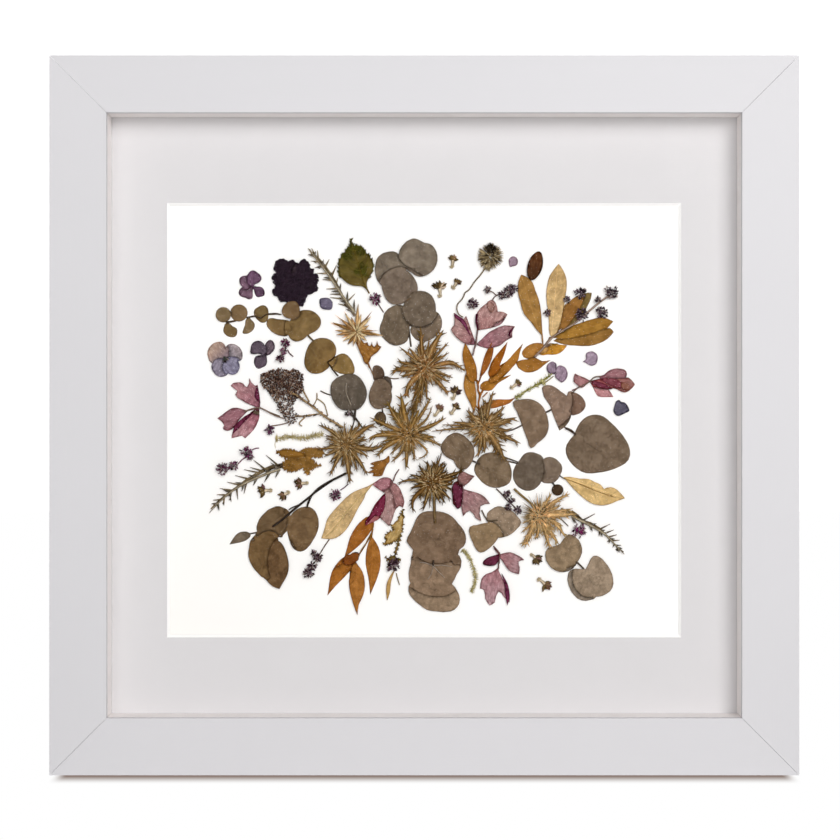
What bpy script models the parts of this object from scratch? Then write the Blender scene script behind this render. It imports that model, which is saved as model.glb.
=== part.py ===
"""Box frame with a mat, glazing and an arrangement of pressed leaves and flowers.

Metres, +Z up. The frame stands on its lower edge with its front towards -Y. The origin is
below the middle of the frame, on the surface it stands on.
Specimen outlines are written in millimetres across (x) and up (z) from the middle of the
mat's window, as they are measured on the bench.
"""

import math

import bmesh
import bpy

MM = 0.001
GAP = 0.3 * MM

# The moulding
FRAME_WIDTH = 500 * MM
FRAME_HEIGHT = 480 * MM
FRAME_DEPTH = 40 * MM
FACE_WIDTH = 38 * MM
LIP_THICKNESS = 5 * MM
RABBET_WIDTH = 6 * MM
MITRE_GAP = 0.2 * MM

# What lies in the rabbet, front to back
GLASS_THICKNESS = 2 * MM
MAT_FRONT_DEPTH = 27 * MM
MAT_THICKNESS = 1.6 * MM
PAPER_THICKNESS = 0.4 * MM
BACKING_THICKNESS = 3 * MM
PACK_CLEARANCE = 0.5 * MM
SPACER_SET_BACK = 0.4 * MM

# The window cut in the mat, with its middle a little below the middle of the frame
WINDOW_WIDTH = 346 * MM
WINDOW_HEIGHT = 292 * MM
WINDOW_DROP = 3.3 * MM

# The tabs that hold the backing board
TAB_LENGTH = 16 * MM
TAB_WIDTH = 9 * MM
TAB_THICKNESS = 1 * MM

# The layers that the specimens lie in, counted from the paper
LEAF_THICKNESS = 0.7 * MM
LAYER_PITCH = LEAF_THICKNESS + GAP
HOLLY_THICKNESS = 2 * MM
LEAF_RESOLUTION = 2
GROWN_TOGETHER = []

FRONT_Y = -FRAME_DEPTH / 2
MIDDLE_Z = FRAME_HEIGHT / 2
WINDOW_Z = MIDDLE_Z - WINDOW_DROP
OPENING_WIDTH = FRAME_WIDTH - 2 * FACE_WIDTH
OPENING_HEIGHT = FRAME_HEIGHT - 2 * FACE_WIDTH
PACK_WIDTH = OPENING_WIDTH + 2 * (RABBET_WIDTH - PACK_CLEARANCE)
PACK_HEIGHT = OPENING_HEIGHT + 2 * (RABBET_WIDTH - PACK_CLEARANCE)
GLASS_FRONT = FRONT_Y + LIP_THICKNESS + GAP
SPACER_FRONT = GLASS_FRONT + GLASS_THICKNESS + GAP
MAT_FRONT = FRONT_Y + MAT_FRONT_DEPTH
PAPER_FRONT = MAT_FRONT + MAT_THICKNESS + GAP
BACKING_FRONT = PAPER_FRONT + PAPER_THICKNESS + GAP
TAB_FRONT = BACKING_FRONT + BACKING_THICKNESS + GAP


def start():
    """An empty scene with a collection for the frame and a hidden one for what it is joined from."""
    for obj in list(bpy.data.objects):
        bpy.data.objects.remove(obj)
    frame = bpy.data.collections.new("pressed_flower_frame")
    helpers = bpy.data.collections.new("helpers")
    for collection in (frame, helpers):
        bpy.context.scene.collection.children.link(collection)
    return frame, helpers


FRAME, HELPERS = start()


def material(name, colour, roughness, metallic=0.0, transmission=0.0):
    made = bpy.data.materials.new(name)
    made.use_nodes = True
    shader = made.node_tree.nodes["Principled BSDF"]
    shader.inputs["Base Color"].default_value = (*colour, 1)
    shader.inputs["Roughness"].default_value = roughness
    shader.inputs["Metallic"].default_value = metallic
    shader.inputs["Transmission Weight"].default_value = transmission
    made.diffuse_color = (*colour, 1)
    return made


def to_mesh(obj):
    """The object as a mesh object of the same name, with the doubled points of its caps merged."""
    graph = bpy.context.evaluated_depsgraph_get()
    mesh = bpy.data.meshes.new_from_object(obj.evaluated_get(graph))
    made = bpy.data.objects.new(obj.name + "_mesh", mesh)
    made.matrix_world = obj.matrix_world.copy()
    for collection in list(obj.users_collection):
        collection.objects.link(made)
    name = obj.name
    bpy.data.objects.remove(obj)
    made.name = name
    weld = made.modifiers.new("weld caps", "WELD")
    weld.merge_threshold = 0.00001
    return made


def plate(name, splines, front, thickness, collection=None, smooth=False):
    """A flat plate that stands facing -Y, from closed outlines in metres; inner outlines are holes."""
    curve = bpy.data.curves.new(name, "CURVE")
    curve.dimensions = "2D"
    curve.fill_mode = "BOTH"
    curve.extrude = thickness / 2
    curve.resolution_u = LEAF_RESOLUTION
    for points in splines:
        spline = curve.splines.new("BEZIER")
        spline.bezier_points.add(len(points) - 1)
        spline.use_cyclic_u = True
        for point, place in zip(spline.bezier_points, points):
            sharp = not smooth or len(place) == 3
            point.co = (place[0], place[1], 0)
            point.handle_left_type = "VECTOR" if sharp else "AUTO"
            point.handle_right_type = point.handle_left_type
    made = bpy.data.objects.new(name, curve)
    made.rotation_euler = (math.pi / 2, 0, 0)
    made.location = (0, front + thickness / 2, 0)
    (collection or FRAME).objects.link(made)
    bpy.context.view_layer.update()
    return made


def rectangle(width, height, middle_z=0.0):
    right = width / 2
    top = middle_z + height / 2
    bottom = middle_z - height / 2
    return [(-right, bottom), (right, bottom), (right, top), (-right, top)]


# ---------------------------------------------------------------- moulding


def rail(name, length, across, turn, colour):
    """One mitred length of the moulding, lying along X above the origin, then turned into its side.

    Its section has the lip at the front and the rabbet behind it, on the side of the opening.
    """
    section = [
        (0, 0),
        (FACE_WIDTH, 0),
        (FACE_WIDTH, LIP_THICKNESS),
        (FACE_WIDTH - RABBET_WIDTH, LIP_THICKNESS),
        (FACE_WIDTH - RABBET_WIDTH, FRAME_DEPTH),
        (0, FRAME_DEPTH),
    ]
    mesh = bpy.data.meshes.new(name)
    made = bpy.data.objects.new(name, mesh)
    FRAME.objects.link(made)
    work = bmesh.new()
    corners = [
        work.verts.new((-length / 2, FRONT_Y + back, across - inward))
        for inward, back in section
    ]
    face = work.faces.new(corners)
    grown = bmesh.ops.extrude_face_region(work, geom=[face])
    far = [item for item in grown["geom"] if isinstance(item, bmesh.types.BMVert)]
    bmesh.ops.translate(work, verts=far, vec=(length, 0, 0))
    for vert in work.verts:
        inward = across - vert.co.z
        side = math.copysign(1, vert.co.x)
        vert.co.x -= side * (inward + MITRE_GAP / 2)
    bmesh.ops.recalc_face_normals(work, faces=work.faces)
    work.to_mesh(mesh)
    work.free()
    made.location = (0, 0, MIDDLE_Z)
    made.rotation_euler = (0, turn, 0)
    mesh.materials.append(colour)
    return made


def moulding():
    white = material("white_lacquer", (0.78, 0.77, 0.79), 0.45)
    half_height = FRAME_HEIGHT / 2
    half_width = FRAME_WIDTH / 2
    rail("rail_top", FRAME_WIDTH, half_height, 0, white)
    rail("rail_bottom", FRAME_WIDTH, half_height, math.pi, white)
    rail("rail_right", FRAME_HEIGHT, half_width, math.pi / 2, white)
    rail("rail_left", FRAME_HEIGHT, half_width, -math.pi / 2, white)


# ---------------------------------------------------------------- glazing, mat and backing


def glazing():
    made = plate("glazing", [rectangle(PACK_WIDTH, PACK_HEIGHT, MIDDLE_Z)], GLASS_FRONT, GLASS_THICKNESS)
    made.data.materials.append(material("clear_glass", (1, 1, 1), 0.02, 0.0, 1.0))


def spacers():
    """Four white strips that hold the glass off the mat."""
    white = material("spacer_board", (0.85, 0.84, 0.84), 0.7)
    depth = MAT_FRONT - GAP - SPACER_FRONT
    inner_x = OPENING_WIDTH / 2 + SPACER_SET_BACK
    inner_z = OPENING_HEIGHT / 2 + SPACER_SET_BACK
    outer_x = PACK_WIDTH / 2
    outer_z = PACK_HEIGHT / 2
    upright = 2 * (inner_z - GAP)
    strips = {
        "spacer_top": (0, (inner_z + outer_z) / 2, 2 * outer_x, outer_z - inner_z),
        "spacer_bottom": (0, -(inner_z + outer_z) / 2, 2 * outer_x, outer_z - inner_z),
        "spacer_left": (-(inner_x + outer_x) / 2, 0, outer_x - inner_x, upright),
        "spacer_right": ((inner_x + outer_x) / 2, 0, outer_x - inner_x, upright),
    }
    for name, (x, z, width, height) in strips.items():
        outline = [(x + across, z + up + MIDDLE_Z) for across, up in rectangle(width, height)]
        plate(name, [outline], SPACER_FRONT, depth).data.materials.append(white)


def mat_board():
    """The mat, whose window has a 45 degree bevel that widens towards the front."""
    made = plate(
        "mat_board",
        [rectangle(PACK_WIDTH, PACK_HEIGHT, MIDDLE_Z), rectangle(WINDOW_WIDTH, WINDOW_HEIGHT, WINDOW_Z)],
        MAT_FRONT,
        MAT_THICKNESS,
    )
    made = to_mesh(made)
    for vert in made.data.vertices:
        inside = abs(vert.co.x) < WINDOW_WIDTH / 2 + GAP
        if inside and vert.co.z > 0:
            vert.co.x += math.copysign(MAT_THICKNESS, vert.co.x)
            vert.co.y += math.copysign(MAT_THICKNESS, vert.co.y - WINDOW_Z)
    made.data.materials.append(material("mat_board", (0.76, 0.75, 0.75), 0.9))


def paper_and_backing():
    whole = [rectangle(PACK_WIDTH, PACK_HEIGHT, MIDDLE_Z)]
    paper = plate("mounting_paper", whole, PAPER_FRONT, PAPER_THICKNESS)
    paper.data.materials.append(material("mounting_paper", (0.97, 0.96, 0.93), 0.9))
    backing = plate("backing_board", whole, BACKING_FRONT, BACKING_THICKNESS)
    backing.data.materials.append(material("backing_board", (0.36, 0.25, 0.15), 0.85))


def retaining_tabs():
    """Flat tabs, one in the middle of each side, that lie on the backing board."""
    steel = material("tab_steel", (0.5, 0.5, 0.5), 0.35, 1.0)
    reach_x = PACK_WIDTH / 2
    reach_z = PACK_HEIGHT / 2
    middle = TAB_LENGTH / 2
    tabs = {
        "retaining_tab_top": (0, reach_z - middle, TAB_WIDTH, TAB_LENGTH),
        "retaining_tab_bottom": (0, middle - reach_z, TAB_WIDTH, TAB_LENGTH),
        "retaining_tab_left": (middle - reach_x, 0, TAB_LENGTH, TAB_WIDTH),
        "retaining_tab_right": (reach_x - middle, 0, TAB_LENGTH, TAB_WIDTH),
    }
    for name, (x, z, width, height) in tabs.items():
        outline = [(x + across, z + up + MIDDLE_Z) for across, up in rectangle(width, height)]
        plate(name, [outline], TAB_FRONT, TAB_THICKNESS).data.materials.append(steel)


# ---------------------------------------------------------------- pressed specimens


def in_frame(outline):
    """Window millimetres as metres in the frame. A third number, which marks a sharp point, stays."""
    return [(x * MM, z * MM + WINDOW_Z, *sharp) for x, z, *sharp in outline]


def egg(x, z, width, height, corners=9):
    """A roundish leaf."""
    turns = [2 * math.pi * step / corners for step in range(corners)]
    return [(x + width / 2 * math.sin(turn), z + height / 2 * math.cos(turn)) for turn in turns]


def stalk(*points, width=1.0, end=None):
    """A stalk, twig or needle along the points, from its width to the width at its end."""
    end = width if end is None else end
    left = []
    right = []
    last = len(points) - 1
    for step, (x, z) in enumerate(points):
        before = points[max(step - 1, 0)]
        after = points[min(step + 1, last)]
        run = (after[0] - before[0], after[1] - before[1])
        length = math.hypot(*run)
        half = (width + (end - width) * step / last) / 2
        side = (-run[1] / length * half, run[0] / length * half)
        left.append((x + side[0], z + side[1], 0))
        right.append((x - side[0], z - side[1], 0))
    return right + left[::-1]


def needles(width, *pairs):
    """Needle leaves, each from its foot to its tip."""
    return [stalk(pair[:2], pair[2:], width=width, end=0.3) for pair in pairs]


def rays(centre, hub, *tips):
    """A spiky head: rays that run from a hub of this radius out to their tips."""
    x, z = centre
    tips = sorted(tips, key=lambda tip: math.atan2(tip[1] - z, tip[0] - x))
    outline = []
    for tip, following in zip(tips, tips[1:] + tips[:1]):
        here = math.atan2(tip[1] - z, tip[0] - x)
        step = (math.atan2(following[1] - z, following[0] - x) - here) % (2 * math.pi)
        between = here + step / 2
        outline.append((*tip, 0))
        outline.append((x + hub * math.cos(between), z + hub * math.sin(between), 0))
    return outline


def specimen(name, layer, colour, *shapes, thickness=LEAF_THICKNESS):
    """One pressed piece: the shapes that grew together, joined into a single flat solid."""
    front = PAPER_FRONT - GAP - layer * LAYER_PITCH - thickness
    made = to_mesh(plate(name, [in_frame(shapes[0])], front, thickness, smooth=True))
    made.data.materials.append(material(name, colour, 0.8))
    if len(shapes) == 1:
        return
    others = bpy.data.collections.new(name + "_shapes")
    HELPERS.children.link(others)
    for number, shape in enumerate(shapes[1:]):
        piece = to_mesh(plate(f"{name}_{number}", [in_frame(shape)], front, thickness, others, True))
        piece.hide_render = True
        piece.display_type = "WIRE"
    GROWN_TOGETHER.append((made, others))


def join_shapes():
    """Unites the shapes of each specimen, once all of them are there."""
    for made, others in GROWN_TOGETHER:
        join = made.modifiers.new("grown together", "BOOLEAN")
        join.operation = "UNION"
        join.operand_type = "COLLECTION"
        join.collection = others


OLIVE_BROWN = (0.17, 0.13, 0.07)
GREY_BROWN = (0.18, 0.15, 0.12)
DARK_GREY = (0.12, 0.10, 0.085)
GOLD = (0.36, 0.20, 0.06)
RUSSET = (0.36, 0.14, 0.03)
STRAW = (0.50, 0.34, 0.15)
MAUVE = (0.30, 0.16, 0.22)
PLUM = (0.06, 0.03, 0.045)
HOLLY = (0.22, 0.15, 0.05)
SAGE = (0.17, 0.15, 0.10)


def eucalyptus():
    specimen(
        "baby_eucalyptus_sprig", 0, OLIVE_BROWN,
        stalk((-123.5, 69.5), (-115, 70.8), (-110, 69.3), (-106, 72), (-100, 72.3), (-98, 72)),
        stalk((-135, 66.6), (-127, 68)),
        egg(-136.6, 71.8, 10.4, 10.4),
        egg(-126, 73, 11.8, 11.6),
        [(-134, 66.7), (-130.5, 64), (-127.7, 62.5), (-127.2, 59.5), (-128.5, 57), (-131, 56.5),
         (-134, 57.3), (-136.5, 60), (-136.5, 62.5)],
        [(-120, 70.3), (-117.5, 68.3), (-115.3, 65.5), (-116, 62), (-118.5, 59.7), (-121, 58.8),
         (-123.5, 59.3), (-123.3, 61), (-122, 64.5)],
        [(-109.5, 78.3), (-107, 77), (-106, 74.5), (-106, 70.5), (-107, 67.5), (-110, 66.3),
         (-112.5, 67.5), (-114.8, 70), (-115.8, 74.5), (-113, 77)],
    )
    specimen(
        "brown_eucalyptus_sprig", 1, OLIVE_BROWN,
        [(-84, 74.5), (-80, 75), (-76, 74.3), (-72.5, 71.8), (-70.2, 68), (-71, 63.5), (-74.5, 60.2),
         (-79, 58), (-81.5, 55.5), (-85.5, 53.7), (-89.5, 54.3), (-92.3, 57.5), (-93, 62),
         (-92, 66.5), (-89, 70.5)],
        [(-91.5, 80.7), (-87.5, 80.8), (-85, 77.5), (-84.5, 74), (-86, 70.5), (-90, 69), (-94, 69.8),
         (-96.5, 72.5), (-96.5, 76), (-94.5, 79)],
        [(-105.5, 69.3), (-100, 68.8), (-94.5, 68.3), (-91, 67), (-91, 60), (-93, 57.5),
         (-97, 57.3), (-101.5, 58.8), (-105.5, 62), (-107.3, 65.5)],
        [(-69, 56), (-64, 54.8), (-60.5, 51), (-59.8, 46.5), (-61, 43), (-64, 39.5), (-64.5, 36.5),
         (-67, 34), (-71, 32), (-76, 31.8), (-79.5, 34), (-81.5, 38.5), (-81, 44), (-79.5, 49),
         (-77, 53), (-73.5, 55.3)],
        [(-66, 39.5, 0), (-61.5, 42.5), (-58, 44.8), (-54, 45.3), (-50.5, 42.5), (-48, 38),
         (-47.3, 33.5), (-48.5, 31.3), (-54, 31.2), (-60, 33)],
        stalk((-80, 59), (-74.5, 53)),
        stalk((-65, 39.5), (-61, 33), (-58.5, 30)),
    )
    specimen(
        "dark_round_leaf", 2, DARK_GREY,
        [(-56, 30.5), (-50, 31.8), (-45, 30), (-41.5, 26), (-39, 20), (-39.2, 15.5), (-41.5, 10.5),
         (-45, 7.3), (-51, 6.7), (-56.5, 7.3), (-60.5, 11), (-63, 16), (-63.7, 20.5), (-62.5, 26)],
        stalk((-51, 8), (-42, -5)),
        stalk((-46.7, 8), (-48, 0)),
    )
    specimen(
        "grey_eucalyptus_pair", 0, GREY_BROWN,
        [(-33, 27.8), (-27.5, 27.8), (-24, 24), (-22, 18), (-22, 14), (-23.5, 10.5), (-27, 8.5),
         (-32, 7.5), (-35.5, 9.5), (-37.5, 14), (-37.3, 19), (-35.3, 24)],
        [(-35, 35), (-34, 37), (-31, 37.2), (-28.5, 35.5), (-27, 32), (-27.5, 28), (-29, 26.5),
         (-33.5, 26.5), (-34.8, 30)],
        [(-27, 30), (-23.5, 29), (-22.2, 26), (-22.2, 20), (-26, 18), (-29, 22)],
        egg(-29.8, 1.2, 8, 9.5),
        stalk((-28.8, 10), (-28, 4)),
    )
    specimen(
        "top_eucalyptus_sprig", 1, GREY_BROWN,
        [(-17, 102), (-12, 101.8), (-9, 99.5), (-6, 95.5), (-4.3, 90), (-5.5, 86), (-9, 83.5),
         (-12.5, 80.5), (-17, 78.7), (-22, 79), (-26, 82.5), (-28, 87.5), (-29, 93), (-27, 98)],
        [(-24, 114.7), (-18.5, 114), (-14, 108), (-12, 100), (-17, 92), (-26, 90), (-30, 92.5),
         (-33, 98), (-33, 107), (-31, 111.5)],
        [(-8, 123.5), (-4, 122.8), (0, 120.7), (4, 119.8), (7, 117), (9, 112), (8, 105), (4, 100),
         (-1, 97.8), (-5, 98), (-8, 100), (-14, 104), (-17, 108), (-17.3, 113), (-15, 118.5)],
    )
    specimen(
        "middle_eucalyptus_sprig", 0, GREY_BROWN,
        [(-8, 87), (-2, 88), (3, 86.5), (6.5, 82.5), (8, 75.5), (7, 70), (3, 65), (-5, 63),
         (-10, 64), (-13.5, 67.5), (-14.8, 73), (-13.5, 80)],
        [(-21, 77.8), (-16, 78.5), (-12, 76), (-10.5, 70), (-10, 60), (-11.5, 54), (-16, 51.3),
         (-21, 51), (-26, 54), (-30, 59.5), (-30, 64), (-28, 69), (-27, 73)],
        [(8, 74), (11, 71), (12.2, 66), (11, 61), (7, 56.5), (1, 53.5), (-4, 54), (-8, 57.5),
         (-9.5, 62), (-5, 68), (2, 74)],
        stalk((-10.5, 63), (-9, 50), width=1.2),
    )
    specimen(
        "large_eucalyptus_stack", 0, GREY_BROWN,
        [(-1, -62.5), (6, -61.8), (13, -62.5), (19, -65.5), (23, -70), (27, -75), (28.5, -80.5),
         (27, -85.5), (24, -88), (22, -93.5), (12, -95.5), (0, -94.5), (-8, -92.5), (-7.5, -88),
         (-12, -82.3), (-9.5, -76.5), (-7, -71), (-4.5, -65.5)],
        [(24, -92), (25, -99.5), (22, -105), (19, -111), (13, -115), (6, -118.3), (0, -118.5),
         (-5, -117), (-9, -112), (-10.5, -104), (-9, -97), (-7.5, -90), (5, -88), (16, -89)],
        [(18.5, -111), (22.5, -116), (24.3, -122), (22.5, -127), (18, -130), (8, -130), (2, -129),
         (-3, -125.5), (-8, -121), (-10.7, -116), (-9, -110), (-5, -108), (8, -106)],
    )
    specimen(
        "grey_eucalyptus_sprig", 0, GREY_BROWN,
        [(20, -8.5), (25, -9.3), (29.5, -12.5), (33, -17), (34.3, -22.5), (33, -27), (30.5, -31.5),
         (26, -34), (22, -31.5), (20, -27.5), (17, -26), (13.5, -23.5), (11.3, -19), (12.5, -15)],
        [(44, -22), (50, -22.5), (56, -26.5), (59, -32), (59.5, -38), (58, -42.5), (54, -45),
         (48, -46), (42, -44), (37, -39.5), (34, -34), (35.5, -28.5), (39, -24)],
        [(72, -21.7), (77, -22.7), (81, -25.5), (80.5, -35), (80, -41), (77, -45.5), (72, -48),
         (66.5, -47), (62, -43), (60.3, -37), (62, -31), (65, -27), (68, -23)],
        [(83, -25.3), (87.5, -25.3), (91.5, -28), (94, -32), (92.5, -37.5), (89, -42), (84, -43),
         (79.5, -41.5), (78, -34), (80, -28)],
        egg(90.7, -47.4, 8, 7.7),
        stalk((32, -27.5), (39, -30)),
        stalk((53, -27), (66, -30)),
        stalk((86.5, -41), (89.5, -45.5)),
    )
    specimen(
        "folded_eucalyptus_sprig", 0, GREY_BROWN,
        [(60.3, 12.5), (64, 13.8), (70, 14.5), (75, 13.5), (79.5, 10.5), (82.5, 6), (84.5, -1),
         (84.5, -6), (82, -11.5), (77, -15.5), (72.5, -19), (70.5, -14), (68, -7.5), (63, 6)],
        [(80, 22), (84, 24), (89, 22.5), (93, 19.5), (97, 16.5), (99.5, 11), (100.3, 5),
         (98.5, -1), (95, -5), (92, -7, 0), (90, -2), (87.5, 4), (85.5, 10)],
        [(98, 19.5), (102, 19), (106, 17), (109, 13.5), (109.8, 9.5), (107.5, 6), (104, 4),
         (99, 4)],
        [(102, -10, 0), (104.5, -4), (108, 0.5), (112, 3), (117, 3.8), (122, 2.5), (127, -1.5),
         (132, -6.5), (137, -13), (140, -20), (139, -27), (134, -31), (125, -34.5), (118, -35.7),
         (110, -36), (104, -33), (99.5, -28.5), (96.5, -22.5), (97, -16.5)],
        stalk((81.5, 4.8), (87.5, 7.8)),
        stalk((94.5, -4), (103.5, -10)),
    )
    specimen(
        "heart_leaf_pair", 0, GREY_BROWN,
        [(42.8, -63.5), (46, -60.5), (50, -58.5), (55, -59.5), (60, -62), (64, -66), (66, -69.5),
         (63, -74), (59, -77.5), (54, -79.5), (49, -79.5), (45, -74), (43, -69)],
        [(31, -72.5), (36, -71.2), (42, -69.8), (48, -71), (52, -75), (50, -80.5), (47, -84.5),
         (43, -88), (38.5, -90), (35.5, -88), (33, -83), (31, -78)],
    )
    specimen(
        "corner_eucalyptus_sprig", 0, GREY_BROWN,
        [(98, -77.5), (103, -79.5), (106.5, -84), (107.3, -90), (104.5, -96), (101, -101),
         (95, -103.3), (89, -102), (84.5, -98), (82.3, -92), (84, -87), (89, -85.5), (92.5, -84)],
        [(98, -104), (101, -101.3), (105, -101), (109, -102), (113, -110), (117, -120),
         (113, -122.3), (107, -122.5), (102, -119), (98.5, -113)],
        [(109.5, -102, 0), (112, -97), (115, -92.3), (119, -92.8), (123, -96.5), (126.5, -101.5),
         (128.5, -108), (128, -114), (124, -118), (118, -120), (112, -119), (106, -116.3),
         (102, -112), (101, -107.5)],
        stalk((102.5, -95), (111, -103.5), width=1.2),
    )
    specimen(
        "eucalyptus_twig", 0, OLIVE_BROWN,
        stalk((-55, -37), (-61, -40), (-69, -45.5), (-76, -50.5), (-85, -57.5), (-91, -62.5),
              (-97, -67.5), (-103, -72), width=1.2),
        [(-101, -58.5), (-96, -59.3), (-92, -62), (-91, -66), (-93.5, -75.5), (-99, -79.5),
         (-106, -80), (-112, -78), (-114, -74.5), (-113.5, -70.5), (-110.5, -65)],
        [(-80, -58.7), (-76, -60), (-73, -64), (-71.7, -69.5), (-72.5, -75.5), (-75.5, -81.5),
         (-80, -87.5), (-84, -89.4), (-88, -88), (-90.5, -84.5), (-92.7, -78), (-93.3, -71),
         (-91, -65), (-86.5, -60.5)],
        [(-105, -71.5), (-101, -76), (-99, -82), (-98, -90), (-99.5, -97), (-103, -103),
         (-108, -107.5), (-113, -104), (-117, -99), (-119.5, -92.5), (-119, -86), (-118, -81.5),
         (-115, -78), (-112, -73.5)],
        [(-100, -82), (-97, -83.5), (-94.5, -88), (-92.8, -93), (-92, -99), (-93, -105),
         (-96, -110.5), (-98.3, -114.7, 0), (-103, -113), (-107, -109), (-110, -106), (-108, -95)],
        [(-132.5, -84.5, 0), (-130, -80.5), (-127, -77), (-122.5, -75.7), (-119, -76.5),
         (-118, -78), (-119.5, -80.5), (-123, -82.5), (-128, -83.7)],
        stalk((-120, -77.5), (-112, -76)),
        stalk((-76.5, -51), (-80, -60)),
    )


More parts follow.
